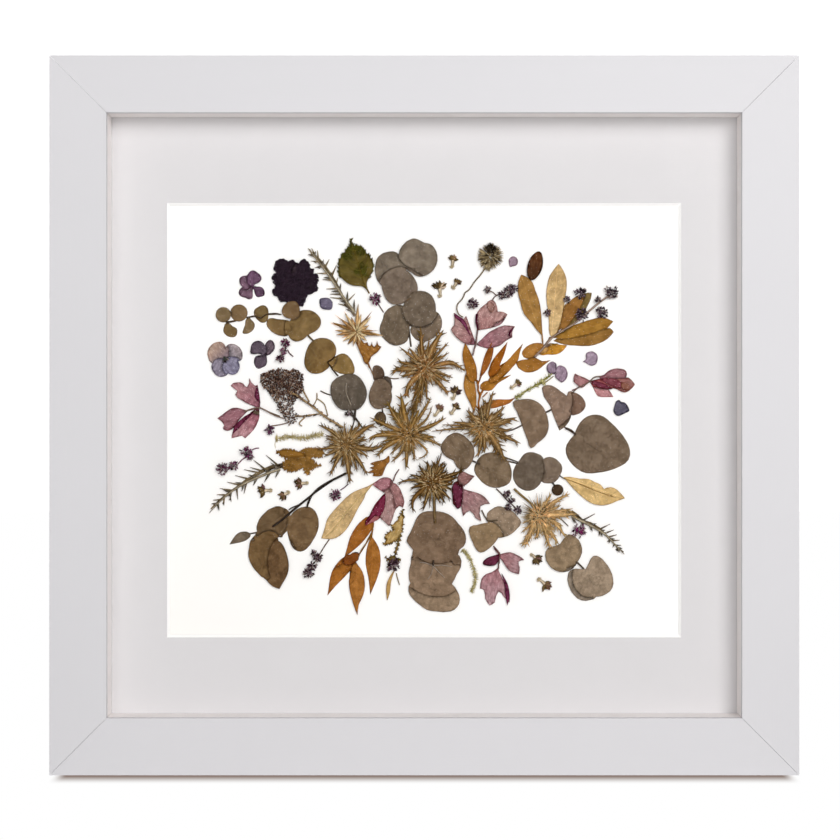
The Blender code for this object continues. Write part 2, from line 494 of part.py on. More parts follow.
def long_leaves():
    specimen(
        "serrated_leaf", 1, (0.06, 0.055, 0.01),
        [(-49.5, 124, 0), (-50.5, 118.5), (-53, 115.5), (-55.5, 112.5), (-57.2, 109.5),
         (-58, 105.5), (-58, 101), (-57, 98), (-55, 95.5), (-51.5, 92.7), (-47, 91.3),
         (-42.5, 91), (-40, 89.5), (-37.3, 86, 0), (-39, 92), (-38.5, 95), (-36.5, 98.5),
         (-35.2, 102), (-35, 106.5), (-36.5, 110.5), (-39, 113.5), (-42, 116.5), (-45, 118.7),
         (-47.8, 118.5)],
    )
    specimen(
        "golden_leaf_spray", 0, GOLD,
        stalk((73.5, 41.5), (80, 48), (86, 56), (92, 60), width=1.8, end=1.2),
        [(66, 99, 0), (70, 97.3), (73.5, 94), (75.5, 88.5), (77.8, 82.5), (79.3, 75), (80, 66),
         (80.5, 57, 0), (76, 62), (72.5, 67), (68, 72), (65.5, 80), (63.5, 88), (64, 94)],
        stalk((80, 59), (81, 49.5)),
        [(91.5, 106.5, 0), (94.5, 102), (96.5, 97), (97, 92), (96, 84), (95, 77.5), (91.5, 66),
         (87.5, 56.5, 0), (85.5, 58), (85, 66), (84, 76), (83, 84), (83.8, 92), (85.5, 98.5)],
        [(87, 56.5, 0), (89.5, 63), (92, 71), (94, 77), (98.5, 80.5), (103.5, 84.5),
         (107.5, 86, 0), (105, 80), (101.5, 72), (96.5, 65.5)],
        [(114, 86.7, 0), (109, 86.3), (103, 78), (100, 72), (96, 66.5), (92, 60, 0), (102, 65.5),
         (108, 72), (111.5, 78.5), (113.5, 83)],
        [(86.5, 56, 0), (92, 59.5), (100, 64), (107, 66.5), (115, 69), (121, 70), (125, 69),
         (128.7, 67.3, 0), (124.5, 62.5), (120.5, 59), (114, 57), (106, 56), (96, 55.8)],
        [(88, 54, 0), (95, 51.5), (103, 50.8), (112, 50.5), (119, 52.3), (125, 55.5),
         (129, 60, 0), (126, 63), (122, 61), (112, 58), (100, 56.5), (93, 57)],
        [(78, 45), (84, 44.7), (90, 44.8), (94.5, 47.3), (97.3, 51, 0), (92, 51.5), (86, 52.5),
         (81, 50.5)],
        [(66.5, 45), (68, 48.5), (72, 51.5), (77, 52.7), (81, 51.5), (80.5, 49), (78, 46),
         (74, 42.5), (70, 41.8)],
        [(62.5, 38.5), (64, 40.3), (70, 41.5), (76, 42.5), (80, 40.3), (86, 41, 0), (81.5, 37.5),
         (77, 34), (71, 32.4), (67, 33.5)],
    )
    specimen(
        "upper_ruscus_sprig", 2, RUSSET,
        stalk((36.3, 27), (36.8, 20), (38, 16), (37, 12), (37, 8), (38, 2)),
        [(27.8, 52.5, 0), (29.5, 50), (32.5, 44), (35, 38), (36, 32), (35.7, 26, 0), (31, 29),
         (28.5, 33), (27.3, 37), (26.2, 42), (26.3, 47)],
        [(32.5, 34), (34, 28), (35.2, 20), (35.5, 12), (34, 4.5, 0), (31, 12), (28.5, 17),
         (27, 22), (27.3, 28), (29, 33)],
        stalk((35, 10), (37.5, 7)),
        [(46.5, 54, 0), (43, 48), (40.5, 42), (38.8, 35), (37.5, 28.5, 0), (41, 32), (44.5, 38),
         (46.5, 44), (47.2, 49)],
        stalk((39, 31), (36.5, 24)),
        [(56.7, 53.3, 0), (51, 46.5), (47, 41.5), (44.5, 36), (44.5, 29), (49, 32), (52, 39),
         (54.5, 45)],
        [(67.3, 52.3, 0), (61, 45.5), (56, 40), (51, 37), (46, 31), (43, 22.5), (49, 26),
         (55, 30.5), (60, 36), (63.8, 40.5), (64.8, 45)],
        [(38, 21.5), (40, 26), (44, 27), (52, 29), (59.5, 31, 0), (55, 28), (50, 25), (46, 20.5),
         (42, 20)],
        stalk((40.5, 22), (37.5, 16)),
        [(41, 9.5), (46, 13.5), (52, 14.3), (58, 14.2), (62, 15.5, 0), (58, 11.5), (52, 9.5),
         (46, 8)],
        stalk((43, 10), (37, 7)),
    )
    specimen(
        "lower_ruscus_sprig", 0, RUSSET,
        [(-38, -65.5), (-41, -67), (-46, -72), (-50.5, -80), (-52.5, -87), (-54.5, -94, 0),
         (-50, -90), (-44, -85), (-40, -80.5), (-36, -75), (-34, -70)],
        [(-46.5, -97), (-50, -102), (-54.5, -107), (-60, -112.5), (-65.8, -119.3, 0), (-65, -114),
         (-64, -107.5), (-62, -101.5), (-58.5, -96.5), (-54.5, -93), (-48, -91.5)],
        [(-44, -91), (-46.5, -89.5), (-50, -91), (-53.5, -94), (-55, -97), (-52.5, -98.3),
         (-48, -97.8)],
        [(-47.5, -96), (-45, -98.5), (-42, -103), (-40.5, -109), (-40.7, -116), (-42.5, -121.5),
         (-44.5, -125.5), (-45.3, -132.5, 0), (-47.5, -127), (-49.5, -120.5), (-51, -113),
         (-50.8, -106)],
        [(-36, -78.5, 0), (-33.5, -82), (-31, -86.5), (-29.8, -92), (-29.8, -99), (-31.5, -106),
         (-34, -112.5), (-36.7, -118.7, 0), (-38, -107), (-39.8, -98), (-39.5, -90), (-38, -83.5)],
        stalk((-34.5, -71), (-35.5, -76), (-39, -83), (-43, -89.5), (-46, -94), width=0.9),
        stalk((-35, -74), (-36, -80.5)),
    )
    specimen(
        "tan_leaf_left", 0, STRAW,
        [(-33, -41.7, 0), (-38.5, -45), (-44, -47), (-50, -50), (-56, -55.5), (-62, -62),
         (-66, -67.5), (-67.5, -73), (-70, -80.3, 0), (-65, -80.8), (-60, -80), (-55, -76.5),
         (-51.5, -72), (-48.5, -67), (-45, -60), (-41, -53.5), (-39.5, -49.5)],
    )
    specimen(
        "tan_leaf_right", 0, STRAW,
        [(94.7, -38.7, 0), (99, -38.5), (106, -39.7), (112, -40), (116, -42), (120, -43.8),
         (122.3, -46.8, 0), (124.5, -45.7), (129, -46), (133, -49), (136.5, -53, 0), (131, -55),
         (125, -57.3), (119, -57.7), (113, -56), (108, -52.5), (103, -48), (98, -42.5)],
    )
    specimen(
        "almond_petal", 1, PLUM,
        [(78.5, 114.8), (80.3, 112), (80.8, 107), (79.8, 102), (77, 97.5), (73, 95), (71, 96.5),
         (69.8, 100.5), (70.2, 105), (72, 110), (75, 113.5)],
    )
    specimen(
        "toothed_leaves", 1, (0.22, 0.12, 0.03),
        [(-96, -30), (-92, -25.8), (-88, -25), (-83, -23), (-78, -24), (-76, -27.5), (-74.5, -29),
         (-70.5, -30.8, 0), (-74, -31.8), (-77, -33.5), (-79.5, -37.8, 0), (-81.3, -34),
         (-82, -31.5), (-86, -33.5), (-93, -34.3)],
        [(-100, -21.5, 0), (-96, -20.3), (-90, -20.5), (-86, -21.7), (-82, -23), (-84, -25.5),
         (-90, -26.2), (-95, -24.8)],
        [(-83, -21.5), (-81.5, -20), (-77, -19.5), (-71, -20), (-67.8, -22.3, 0), (-70, -24.5),
         (-75, -24.5), (-80, -25.5)],
    )
    specimen(
        "olive_leaflet", 0, (0.27, 0.20, 0.07),
        [(-14.2, -60, 0), (-14.3, -66), (-14.5, -72), (-16, -77), (-19, -81.5), (-23, -83.5),
         (-28.3, -84.7, 0), (-25.5, -80.5), (-27, -79.5, 0), (-24, -76), (-20.5, -74.5),
         (-22.5, -71.5, 0), (-19.5, -69.5), (-17, -66)],
        stalk((-15.3, -74), (-17.5, -83), (-20.7, -95), width=0.8),
        rays((-21, -96), 2.5, (-27, -93), (-23, -91), (-19, -92.5), (-15.5, -94.5), (-17.5, -98),
             (-20.5, -101), (-25, -100)),
    )


def sprigs():
    specimen(
        "upper_needle_sprig", 0, SAGE,
        stalk((-76.5, 113.5), (-72, 109.5), (-68, 105), (-64, 99.5), (-60.5, 94), (-57.5, 88),
              (-54.5, 82), (-51, 76.5), (-47, 71), width=2.2, end=1.8),
        *needles(1.6, (-75, 112, -79, 117), (-74, 111.5, -76.5, 117), (-72, 109, -72.5, 115.5),
                 (-70, 107.5, -77, 108.3), (-68, 105, -74.5, 103.7), (-64, 99.8, -73, 100),
                 (-61.5, 95, -69, 95.8), (-58.5, 89.5, -66.5, 89.3), (-56.5, 85.7, -64, 85.8),
                 (-55, 82.5, -64, 83.5), (-51.5, 77.5, -58.5, 79.3), (-67.5, 104, -64.5, 109.5),
                 (-63, 98, -59.5, 105.5), (-60, 92.5, -58.7, 97), (-53, 80, -47, 86)),
    )
    specimen(
        "left_needle_sprig", 0, SAGE,
        stalk((-145, -60.3), (-140, -55), (-135, -51), (-130, -47.5), (-125, -44), (-121, -41),
              (-116, -38), (-110, -34.5), (-104, -32), (-96, -30.5), width=0.8, end=3),
        *needles(1.4, (-138.5, -54, -143.5, -54.3), (-134.5, -50.8, -141, -50.5),
                 (-130, -47.8, -139, -46.3), (-125, -44.2, -134, -42), (-119, -40, -128.5, -37.5),
                 (-112, -35.8, -122.5, -33.5), (-110, -34.5, -118.5, -32), (-108, -33.5, -116, -27),
                 (-99, -31, -107.5, -23.7), (-139, -54.5, -140.8, -58.3), (-136, -52, -136.2, -58),
                 (-132, -49, -131.3, -55.5), (-127.5, -45.7, -126.7, -54), (-120.5, -41, -122.5, -50),
                 (-102, -31.8, -109, -36.7)),
    )
    specimen(
        "right_needle_sprig", 0, SAGE,
        stalk((100, -62), (103, -64), (108, -68.5), (113, -70), (119, -73.5), (123, -77.5),
              (127, -81.5), (131, -86), (135.5, -89.7), width=2.2, end=0.8),
        *needles(1.2, (108, -68, 116.3, -63.5), (119.5, -74, 126.5, -70.5), (122.5, -77, 129, -74.5),
                 (125, -79.5, 131, -77.8), (127.5, -82, 133, -81.5), (130, -85, 134, -85),
                 (113.5, -70, 113.5, -73.5), (119, -73.5, 119, -79), (127, -80.8, 124.5, -82.5),
                 (129.3, -84, 128.3, -86.5), (131.5, -86.3, 131, -89)),
    )
    specimen(
        "seed_head", 0, (0.12, 0.10, 0.06),
        rays((45, 110.5), 7.3, (43, 119.5), (48, 119), (51, 116.5), (52.5, 114), (54, 112),
             (53.5, 108), (52, 105), (49, 103), (45.5, 101.3), (42, 102.8), (39.5, 104.5), (37, 107),
             (36, 110.5), (38.5, 113), (40, 117)),
        stalk((43, 104.5), (34.5, 94.5), (31, 89), (27.5, 86.5), (26, 82.5), (22.7, 79), (22, 75.5),
              (22.5, 73.8)),
    )
    specimen(
        "straw_star", 1, (0.42, 0.24, 0.09),
        rays((-46, 60.5), 3.6, (-64.5, 66.5), (-61, 72), (-54.5, 74.3), (-44.5, 80), (-35.3, 74.3),
             (-38, 62.8), (-30.3, 61), (-30.5, 57.5), (-40, 54), (-48.5, 49.8), (-52.5, 51.5),
             (-56, 56)),
        [(-46, 58), (-41, 52.5), (-38.5, 53, 0), (-37, 50.5), (-35.5, 53.5, 0), (-34, 49.8),
         (-32, 54.3, 0), (-31, 51), (-29, 50, 0), (-31.5, 46.5), (-36, 43), (-37.3, 39.5),
         (-39.5, 38), (-42, 43), (-45, 49.5)],
        stalk((-38.5, 40), (-37, 35.5), width=1.2),
    )
    specimen(
        "brown_flower_head", 1, (0.10, 0.06, 0.045),
        [(-110.5, 31), (-107, 32.5), (-103, 34.3), (-98, 35.3), (-93, 34), (-88, 34.8),
         (-84, 32.5), (-81.8, 30.5), (-82.5, 25), (-82, 21), (-85, 17), (-88, 13), (-89, 8),
         (-86, 3), (-91, -4), (-94, -1), (-96, 3), (-99.5, 6.5), (-100, 10.5), (-103.5, 15.5),
         (-105.5, 19.5), (-108.5, 21.5), (-110.7, 25)],
        stalk((-89, 19), (-82, 14), (-77, 10.5), (-70, 5), (-64, 0.5), (-57, -4.5), width=1.5),
        stalk((-88, 3), (-80, 3), (-69, 4.3), width=0.9),
    )
    specimen(
        "dark_statice_sprig", 1, (0.06, 0.035, 0.04),
        stalk((86, 56.5), (92, 60), (100, 65), (108, 70), (117, 77), (125, 84), width=1.3),
        rays((127, 87), 3.8, (121, 88.5), (125, 90.5), (128.5, 91.8), (132, 89.5), (132.5, 85),
             (130, 82.5), (127, 81.5), (122.5, 83)),
        rays((120.7, 73.3), 3.4, (115.5, 71.5), (117, 75.5), (119, 76.5), (122.5, 77.5), (126, 74),
             (124.5, 71), (119, 69.3)),
        stalk((113, 73.5), (119, 73), width=1.2),
        rays((107, 72.5), 3.6, (101.5, 70), (104, 74.5), (107, 77), (111.5, 78), (113, 73),
             (110, 68.5), (106, 67.3)),
        rays((106.3, 85.5), 3.2, (101.5, 86.5), (104.5, 90.3), (107.5, 91), (110.5, 89.5),
             (109.5, 84), (108.5, 80.5), (105.5, 80.5)),
        stalk((106.5, 84), (105.5, 72), width=1.2),
    )


def flowers():
    specimen(
        "dusty_hydrangea_floret", 0, MAUVE,
        [(-117, 90.5), (-118, 93), (-121, 95), (-119.5, 100), (-116.5, 102), (-113.5, 100.5),
         (-110.7, 97.5), (-111.5, 94.3), (-115, 92.5)],
        [(-117, 91), (-121, 89.5), (-124.5, 91.5), (-125.7, 94.5), (-125, 97.2), (-122, 98.3),
         (-118, 98), (-117, 94.5)],
        [(-117.3, 91.5), (-121, 91.5), (-124.5, 90), (-126.2, 87), (-125, 84.5), (-121.5, 83.3),
         (-119.5, 82.3), (-117, 83), (-116.7, 86.5)],
        [(-117.5, 91), (-114, 91), (-110.5, 90.5), (-108.7, 88), (-108.8, 85), (-111.5, 84),
         (-113.5, 83.8), (-115, 85.5), (-116, 89)],
    )
    specimen(
        "dark_scalloped_flower", 0, (0.015, 0.008, 0.013),
        [(-97, 109), (-93.5, 107.7), (-92.3, 106.3, 0), (-90, 108.2), (-87.5, 107), (-85.8, 105, 0),
         (-84, 106.5), (-82, 108.7), (-79.5, 107), (-78, 103.7, 0), (-76, 102.5), (-76.3, 99.7, 0),
         (-73.5, 98.7), (-72.8, 95), (-74, 92, 0), (-72.8, 90), (-75, 87.8), (-80, 86, 0),
         (-81.5, 82.5), (-83.5, 78.2), (-86.3, 79.5), (-88.5, 81.3, 0), (-92, 80.5), (-94.5, 81.8, 0),
         (-97, 81.5), (-98.5, 84, 0), (-101.3, 85.5), (-102.2, 88.5), (-99.5, 91, 0), (-101.7, 94),
         (-102.6, 97), (-100, 100, 0), (-101.3, 103), (-100, 107.5)],
    )
    specimen(
        "large_hydrangea_floret", 0, (0.26, 0.24, 0.33),
        [(-135, 41), (-134.3, 46), (-135, 50), (-137.5, 53), (-141, 53.2), (-145, 51),
         (-147.3, 47), (-147, 43), (-144.8, 39), (-141, 38.8)],
        [(-135.5, 41.5), (-135, 46.5), (-134.5, 50.5), (-131.5, 52), (-127.5, 51), (-124.5, 48),
         (-123.5, 44), (-124.8, 40.5), (-128, 40.2)],
        [(-134.5, 42), (-139, 41), (-143, 40), (-144.7, 37), (-143.5, 33), (-140, 29.8),
         (-136.5, 29.7), (-133.5, 31.5), (-133, 36)],
        [(-136, 42), (-131, 41.3), (-127.5, 40.8), (-125.5, 38), (-126, 34), (-128.5, 31.3),
         (-132, 31.3), (-135, 33.5)],
    )
    specimen(
        "dark_hydrangea_floret", 0, (0.08, 0.065, 0.09),
        [(-108.3, 45), (-113, 45.3), (-117.8, 45.3), (-118, 48.5), (-117, 52), (-114.5, 53.8),
         (-111, 53.7), (-108, 50)],
        [(-109.5, 45), (-108.7, 50), (-107, 53.3), (-104.5, 54.7), (-102.3, 53), (-101.5, 50),
         (-102.5, 47), (-107, 44)],
        [(-108.5, 46), (-111, 44.3), (-114.5, 43.5), (-115.7, 41), (-115.3, 37.5), (-113, 35),
         (-110, 36), (-107.5, 37.5), (-107, 42)],
    )
    specimen(
        "top_pink_flower", 1, MAUVE,
        stalk((36.5, 63), (35.5, 56), (35, 52), (34, 48), (33, 44)),
        [(20, 73, 0), (24, 70.5), (27, 68.8, 0), (28.5, 71, 0), (30, 67), (32, 61), (33.8, 56),
         (35.3, 51.5, 0), (30, 51.3), (24, 54.5), (20.5, 58), (18.3, 62), (20.5, 65)],
        [(36.3, 61, 0), (35, 66), (35.2, 71), (38, 76), (42.5, 79.5), (45.5, 82), (48.5, 80),
         (50, 74, 0), (54, 73.5), (56.5, 72, 0), (53, 66), (49, 63.8), (43, 62.3)],
        [(35, 51.5, 0), (39, 55), (43, 59), (47, 61.5), (54.5, 64.5), (61.8, 63.8, 0), (60, 60.5),
         (60, 56.5, 0), (55.5, 54), (52, 51), (48.5, 49.8), (43, 48.8)],
    )
    specimen(
        "right_pink_flower", 0, MAUVE,
        [(112, 26.5, 0), (118, 28), (124, 29), (130, 28.5), (135, 29), (139, 29), (143.3, 24.3, 0),
         (141, 21.5), (137, 19), (134, 19.5), (130, 21.5), (125, 22), (120, 22.5)],
        [(102.5, 31.8, 0), (105, 30.5), (109, 29), (113.5, 26.5, 0), (110, 24), (107, 22),
         (103.5, 24.5), (101.5, 26.5)],
        [(119, 29), (122.5, 31), (125, 33.3), (129, 35), (134, 35), (137.3, 33.5), (137.5, 29.5),
         (134, 27.5), (124, 27)],
        [(112.5, 26.5, 0), (115, 22), (117, 18), (118.5, 16.3), (123, 15.8), (128.7, 15.8, 0),
         (125.5, 21), (121, 24)],
        stalk((109, 24.7), (104, 21.8), (100.5, 20.3), width=0.8),
    )
    specimen(
        "left_pink_flower", 0, MAUVE,
        stalk((-122, 6.2), (-112, 8.8), (-104, 4.8), (-98, 2.5)),
        [(-111.8, 8, 0), (-111.5, 13), (-112.3, 19), (-113.3, 24.2, 0), (-115, 23.5),
         (-119, 28.8, 0), (-120.5, 22.5), (-123, 25), (-127, 25.8), (-131.5, 23.5), (-127, 20),
         (-128.5, 17.5), (-124, 13.5), (-119, 10.8)],
        [(-120, 6.3, 0), (-125, 8), (-129.5, 8.5), (-133, 7), (-137, 4), (-140.7, 1.3, 0),
         (-136, -3.5), (-137, -5), (-135.5, -6.8), (-132, -6.8), (-129.5, -5), (-126, 0)],
        [(-112.5, 9.5, 0), (-112, 3), (-113.5, -2), (-116, -6.5), (-121.8, -12.3, 0),
         (-124, -10.5, 0), (-131, -12.3, 0), (-130.5, -8.5), (-127, -4), (-122.5, 1.5)],
    )
    specimen(
        "lower_pink_flower", 1, MAUVE,
        [(-26, -47.5, 0), (-23, -51), (-21, -56), (-20.5, -63), (-21.5, -67), (-23.7, -72, 0),
         (-27, -69), (-30, -65.5), (-28.5, -59)],
        [(-35, -43.8, 0), (-30, -39.7), (-25, -38.8), (-21.5, -41), (-21, -43), (-23, -46),
         (-25, -49), (-30, -47.5)],
        [(-21.5, -42.5), (-17.5, -45), (-15, -50), (-13.5, -55.5), (-14.5, -59.5, 0), (-17, -58.3),
         (-20.5, -63.3, 0), (-23, -57), (-24.5, -48)],
        [(-25.5, -48, 0), (-27, -59), (-29.5, -66), (-34, -69), (-40.3, -71.8, 0), (-36, -62),
         (-33, -56.5)],
    )
    specimen(
        "centre_pink_flower", 1, MAUVE,
        [(26, -46.5, 0), (31, -48), (36.5, -49.5), (41, -52), (44.8, -56.8, 0), (38.3, -58.5),
         (39, -68.8, 0), (35, -66.5), (31, -61.5), (26.5, -65.3, 0), (25, -58), (24.5, -51)],
        [(27, -35), (30, -36.5), (34.3, -38, 0), (32, -40.5), (29, -43.5), (25, -44.5),
         (22.5, -41.5), (24, -36)],
        [(20.5, -42), (25, -42), (27, -48), (26, -53), (25, -58.5), (22.5, -60.3), (19, -51)],
    )
    specimen(
        "base_pink_flower", 0, MAUVE,
        stalk((47.5, -87), (50.7, -91), (51, -96), (50, -103), width=0.8),
        [(50, -100.5, 0), (51, -103), (53.5, -108), (57, -114.5), (58.3, -119), (58, -124, 0),
         (54, -120), (50.7, -116.5), (48, -124), (44.5, -126, 0), (41.5, -121.5), (40.7, -115.5),
         (38, -114.5, 0), (39, -108), (42, -104.7), (46, -103.3)],
        [(51.5, -91, 0), (51.3, -93.5), (49.5, -97), (46.5, -98.8), (42, -98.8), (39.8, -97.5),
         (41, -95), (44, -93)],
        [(50.3, -91.5, 0), (55.5, -90), (59, -89.8), (63, -91.5), (66.5, -93.5), (68, -95, 0),
         (64.2, -96.2), (65, -100), (64.5, -104.7, 0), (61, -103.7), (57.5, -102), (55.3, -99)],
    )


def sea_hollies():
    """Six spiny heads, pressed thicker than the leaves, on top of everything else."""
    heads = {
        "upper_sea_holly": (4, (1, 34), 10, [
            (16.5, 25.5), (16, 18.5), (28, 33.5), (18, 41), (17, 46), (16, 53), (13, 61.5),
            (8.5, 56), (5.5, 53.5), (3, 56), (-2.5, 65), (-6, 54), (-10.5, 50.5), (-17, 49.5),
            (-18, 40), (-23, 33), (-17, 28.5), (-14, 15.5), (-9.5, 9.5), (-3, 9.5), (3, 15)]),
        "middle_sea_holly": (1, (-11, -10), 9, [
            (-37.5, 2), (-25.5, 13), (-22, 9), (-16, 19), (-10, 8.5), (-1, 7), (5.5, 10.5),
            (3.5, 0), (15, 2), (7.5, -7), (11.5, -18), (2, -20.5), (-4, -27), (-12.5, -34),
            (-22.5, -28.5), (-32.5, -25.5), (-29, -15), (-40, -12.5), (-32, -7)]),
        "left_sea_holly": (4, (-53, -17.5), 7, [
            (-72, -3), (-62, -1), (-54.5, -1), (-46, 0), (-33, -2), (-38, -12), (-39.5, -15.5),
            (-27, -17.5), (-37, -24.5), (-37.5, -37.5), (-48, -32.5), (-50, -44), (-56, -31),
            (-64, -38), (-64, -28.5), (-72, -24.5), (-73, -19.5), (-68, -10)]),
        "right_sea_holly": (4, (40, -4), 8, [
            (19, -1), (28.5, 7), (31.5, 7), (38, 10), (42, 14.5), (46, 16), (54, 9.5), (52.5, 5),
            (63, 2), (57, -1.5), (60, -6.5), (66, -16), (53, -17), (54, -28.5), (41, -22),
            (37, -29), (33, -16), (26.5, -10), (13, -6.5)]),
        "lower_sea_holly": (4, (5, -43), 9, [
            (-17, -43), (-9, -36.5), (-4, -31), (1.5, -27), (6, -27), (12.5, -21.5), (14.5, -28),
            (16, -33), (27.5, -33.5), (21.5, -41), (21, -47), (18.5, -54.5), (14.5, -56.5),
            (10, -57), (7, -69.5), (3, -60), (-1, -61), (-7.5, -63), (-7, -53)]),
        "tan_sea_holly": (1, (80, -66), 6, [
            (61, -47), (73, -54), (79, -55.5), (87, -49), (99.5, -49.5), (93, -57.5), (101, -60),
            (108.5, -69), (97, -81), (91, -85), (86, -88), (77, -80.5), (66.5, -86.5), (70, -76),
            (66.5, -71), (70, -63)]),
    }
    for name, (layer, centre, hub, tips) in heads.items():
        colour = STRAW if name == "tan_sea_holly" else HOLLY
        specimen(name, layer, colour, rays(centre, hub, *tips), thickness=HOLLY_THICKNESS)


moulding()
glazing()
spacers()
mat_board()
paper_and_backing()
retaining_tabs()
eucalyptus()
long_leaves()
sprigs()
flowers()
sea_hollies()
join_shapes()
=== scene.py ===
"""The looks of a deep white box frame that holds pressed leaves, flowers and sea hollies.

Places on the paper are written in millimetres across (x) and up (z) from the middle of the
mat's window, and lifts in millimetres off the paper.
"""

import math
import random

import bmesh
import bpy
import numpy as np
from mathutils import Matrix, Vector, noise


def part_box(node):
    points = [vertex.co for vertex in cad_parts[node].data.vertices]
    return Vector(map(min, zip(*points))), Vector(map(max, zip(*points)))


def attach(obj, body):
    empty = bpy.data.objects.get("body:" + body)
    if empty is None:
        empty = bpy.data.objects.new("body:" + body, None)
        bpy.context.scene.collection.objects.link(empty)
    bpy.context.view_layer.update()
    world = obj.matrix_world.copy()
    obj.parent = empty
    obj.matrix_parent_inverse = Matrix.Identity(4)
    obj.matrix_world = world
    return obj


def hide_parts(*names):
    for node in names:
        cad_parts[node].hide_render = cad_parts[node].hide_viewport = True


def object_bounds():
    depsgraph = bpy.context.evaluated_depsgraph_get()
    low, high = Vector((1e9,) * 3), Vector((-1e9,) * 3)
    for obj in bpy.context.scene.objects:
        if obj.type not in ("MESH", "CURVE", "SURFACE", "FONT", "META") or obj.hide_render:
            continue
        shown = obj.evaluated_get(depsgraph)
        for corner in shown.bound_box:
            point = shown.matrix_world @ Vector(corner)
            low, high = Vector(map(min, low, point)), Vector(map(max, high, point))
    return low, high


bl_info = {
    "name": "Pressed flower frame",
    "version": (1, 0, 0),
    "blender": (4, 5, 0),
    "location": "View3D > Sidebar > Pressed frame",
    "description": "Builds a box frame with an arrangement of pressed plants",
    "category": "Object",
}

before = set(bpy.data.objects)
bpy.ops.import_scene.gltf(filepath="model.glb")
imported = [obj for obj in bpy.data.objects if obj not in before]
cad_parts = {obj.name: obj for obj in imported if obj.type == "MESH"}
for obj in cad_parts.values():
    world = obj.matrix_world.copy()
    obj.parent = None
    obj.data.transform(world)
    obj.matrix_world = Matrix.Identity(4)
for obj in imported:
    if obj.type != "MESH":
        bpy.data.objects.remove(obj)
CAD_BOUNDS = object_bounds()

MM = 0.001
RAILS = ["rail_top", "rail_bottom", "rail_left", "rail_right"]
SPACERS = ["spacer_top", "spacer_bottom", "spacer_left", "spacer_right"]
TABS = ["retaining_tab_top", "retaining_tab_bottom", "retaining_tab_left", "retaining_tab_right"]
PAPER_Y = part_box("mounting_paper")[0].y
MAT_LOW, MAT_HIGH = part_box("mat_board")
WINDOW_DROP = 3.3 * MM
WINDOW_Z = (MAT_LOW.z + MAT_HIGH.z) / 2 - WINDOW_DROP
OUTER_LOW, OUTER_HIGH = CAD_BOUNDS
MIDDLE_Z = (OUTER_LOW.z + OUTER_HIGH.z) / 2

# Tolerances: doubled points, the fold that still counts as flat, and a face's y when it faces forward.
WELD = 0.02 * MM
FLAT_FOLD = 0.001
FACING_FRONT = -0.9

# The squared reach at which a leaf's oval ends, and how far a seam's points may be scaled to meet it.
OVAL_REACH = 1.06
SNAP_LIMITS = (0.88, 1.14)

# In millimetres: how far a leaf lies below the one in front, and the lowest lift off the paper.
LEAF_STEP = 0.4
LOWEST_LIFT = 0.25

# Painted shadow: how dark a leaf is painted beside the leaf lying over it, and how many millimetres that
# reaches.
COVERED_PAINTED_SHADE = 0.32
PAINTED_SHADE_REACH = 1.3

PATCH_GRID = 1.1 * MM
SHEET_THICKNESS = 0.2 * MM
LOOP_STEPS = 4

# A sea holly's thin spikes and cone bristles, and the millimetres between a bract's teeth.
SPIKES = 260
CONE_BRISTLES = 230
TOOTH_PITCH = 2.6

# A trumpet floret's lobes and hairs, and a cluster's calyxes for each millimetre of its radius.
LOBES = 9
TUBE_HAIRS = 34
CALYXES_PER_MM = 17

# The brown head's grains and the height below which half of them are missing, the points of a
# needle sprig's stem from one pair of needles to the next, and how much loose petals buckle.
HEAD_GRAINS = 2600
HEAD_SPARSE_BELOW = 14
NEEDLE_EVERY = 5
LOOSE_CURL = 0.35

PLANT_ROUGHNESS = 0.85
GLASS_IOR = 1.05

FLOOR_SIZE = 4
FLOOR_DROP = 0.4 * MM
BACKDROP_STRENGTH = 1.2
CAMERA_PLACE = (-0.00283, -1.405, 0.23687)
CAMERA_LENS = 89.04
CAMERA_SENSOR = 36


# ---------------------------------------------------------------- settings


class FrameSettings(bpy.types.PropertyGroup):
    """Sizes and colours of the frame and its boards."""

    moulding_colour: bpy.props.FloatVectorProperty(
        name="Moulding colour", description="Lacquer on the moulding", subtype="COLOR",
        size=3, min=0, max=1, default=(0.68, 0.67, 0.69),
    )
    mat_colour: bpy.props.FloatVectorProperty(
        name="Mat colour", description="Face of the mat board", subtype="COLOR",
        size=3, min=0, max=1, default=(0.69, 0.675, 0.683),
    )
    paper_colour: bpy.props.FloatVectorProperty(
        name="Paper colour", description="Paper the plants are mounted on", subtype="COLOR",
        size=3, min=0, max=1, default=(0.99, 0.975, 0.955),
    )
    moulding_bevel: bpy.props.FloatProperty(
        name="Moulding bevel", description="Width of the rounded edges of the moulding",
        default=0.00006, min=0.0, unit="LENGTH",
    )


class LightSettings(bpy.types.PropertyGroup):
    """Powers of the studio lights."""

    key_power: bpy.props.FloatProperty(
        name="Key power", description="Power of the soft light at the upper right, in watts",
        default=25.5, min=0.0,
    )
    fill_power: bpy.props.FloatProperty(
        name="Fill power", description="Power of the broad light in front, in watts",
        default=40.0, min=0.0,
    )
    world_strength: bpy.props.FloatProperty(
        name="Room strength", description="Strength of the light from the room",
        default=0.22, min=0.0,
    )


class PlantSettings(bpy.types.PropertyGroup):
    """How the pressed plants lie."""

    grid: bpy.props.FloatProperty(
        name="Grid", description="Size of the faces that a leaf is divided into",
        default=0.0009, min=0.0003, unit="LENGTH",
    )
    curl: bpy.props.FloatProperty(
        name="Curl", description="How far the leaves buckle off the paper",
        default=0.0007, min=0.0, unit="LENGTH",
    )


# ---------------------------------------------------------------- shader maths


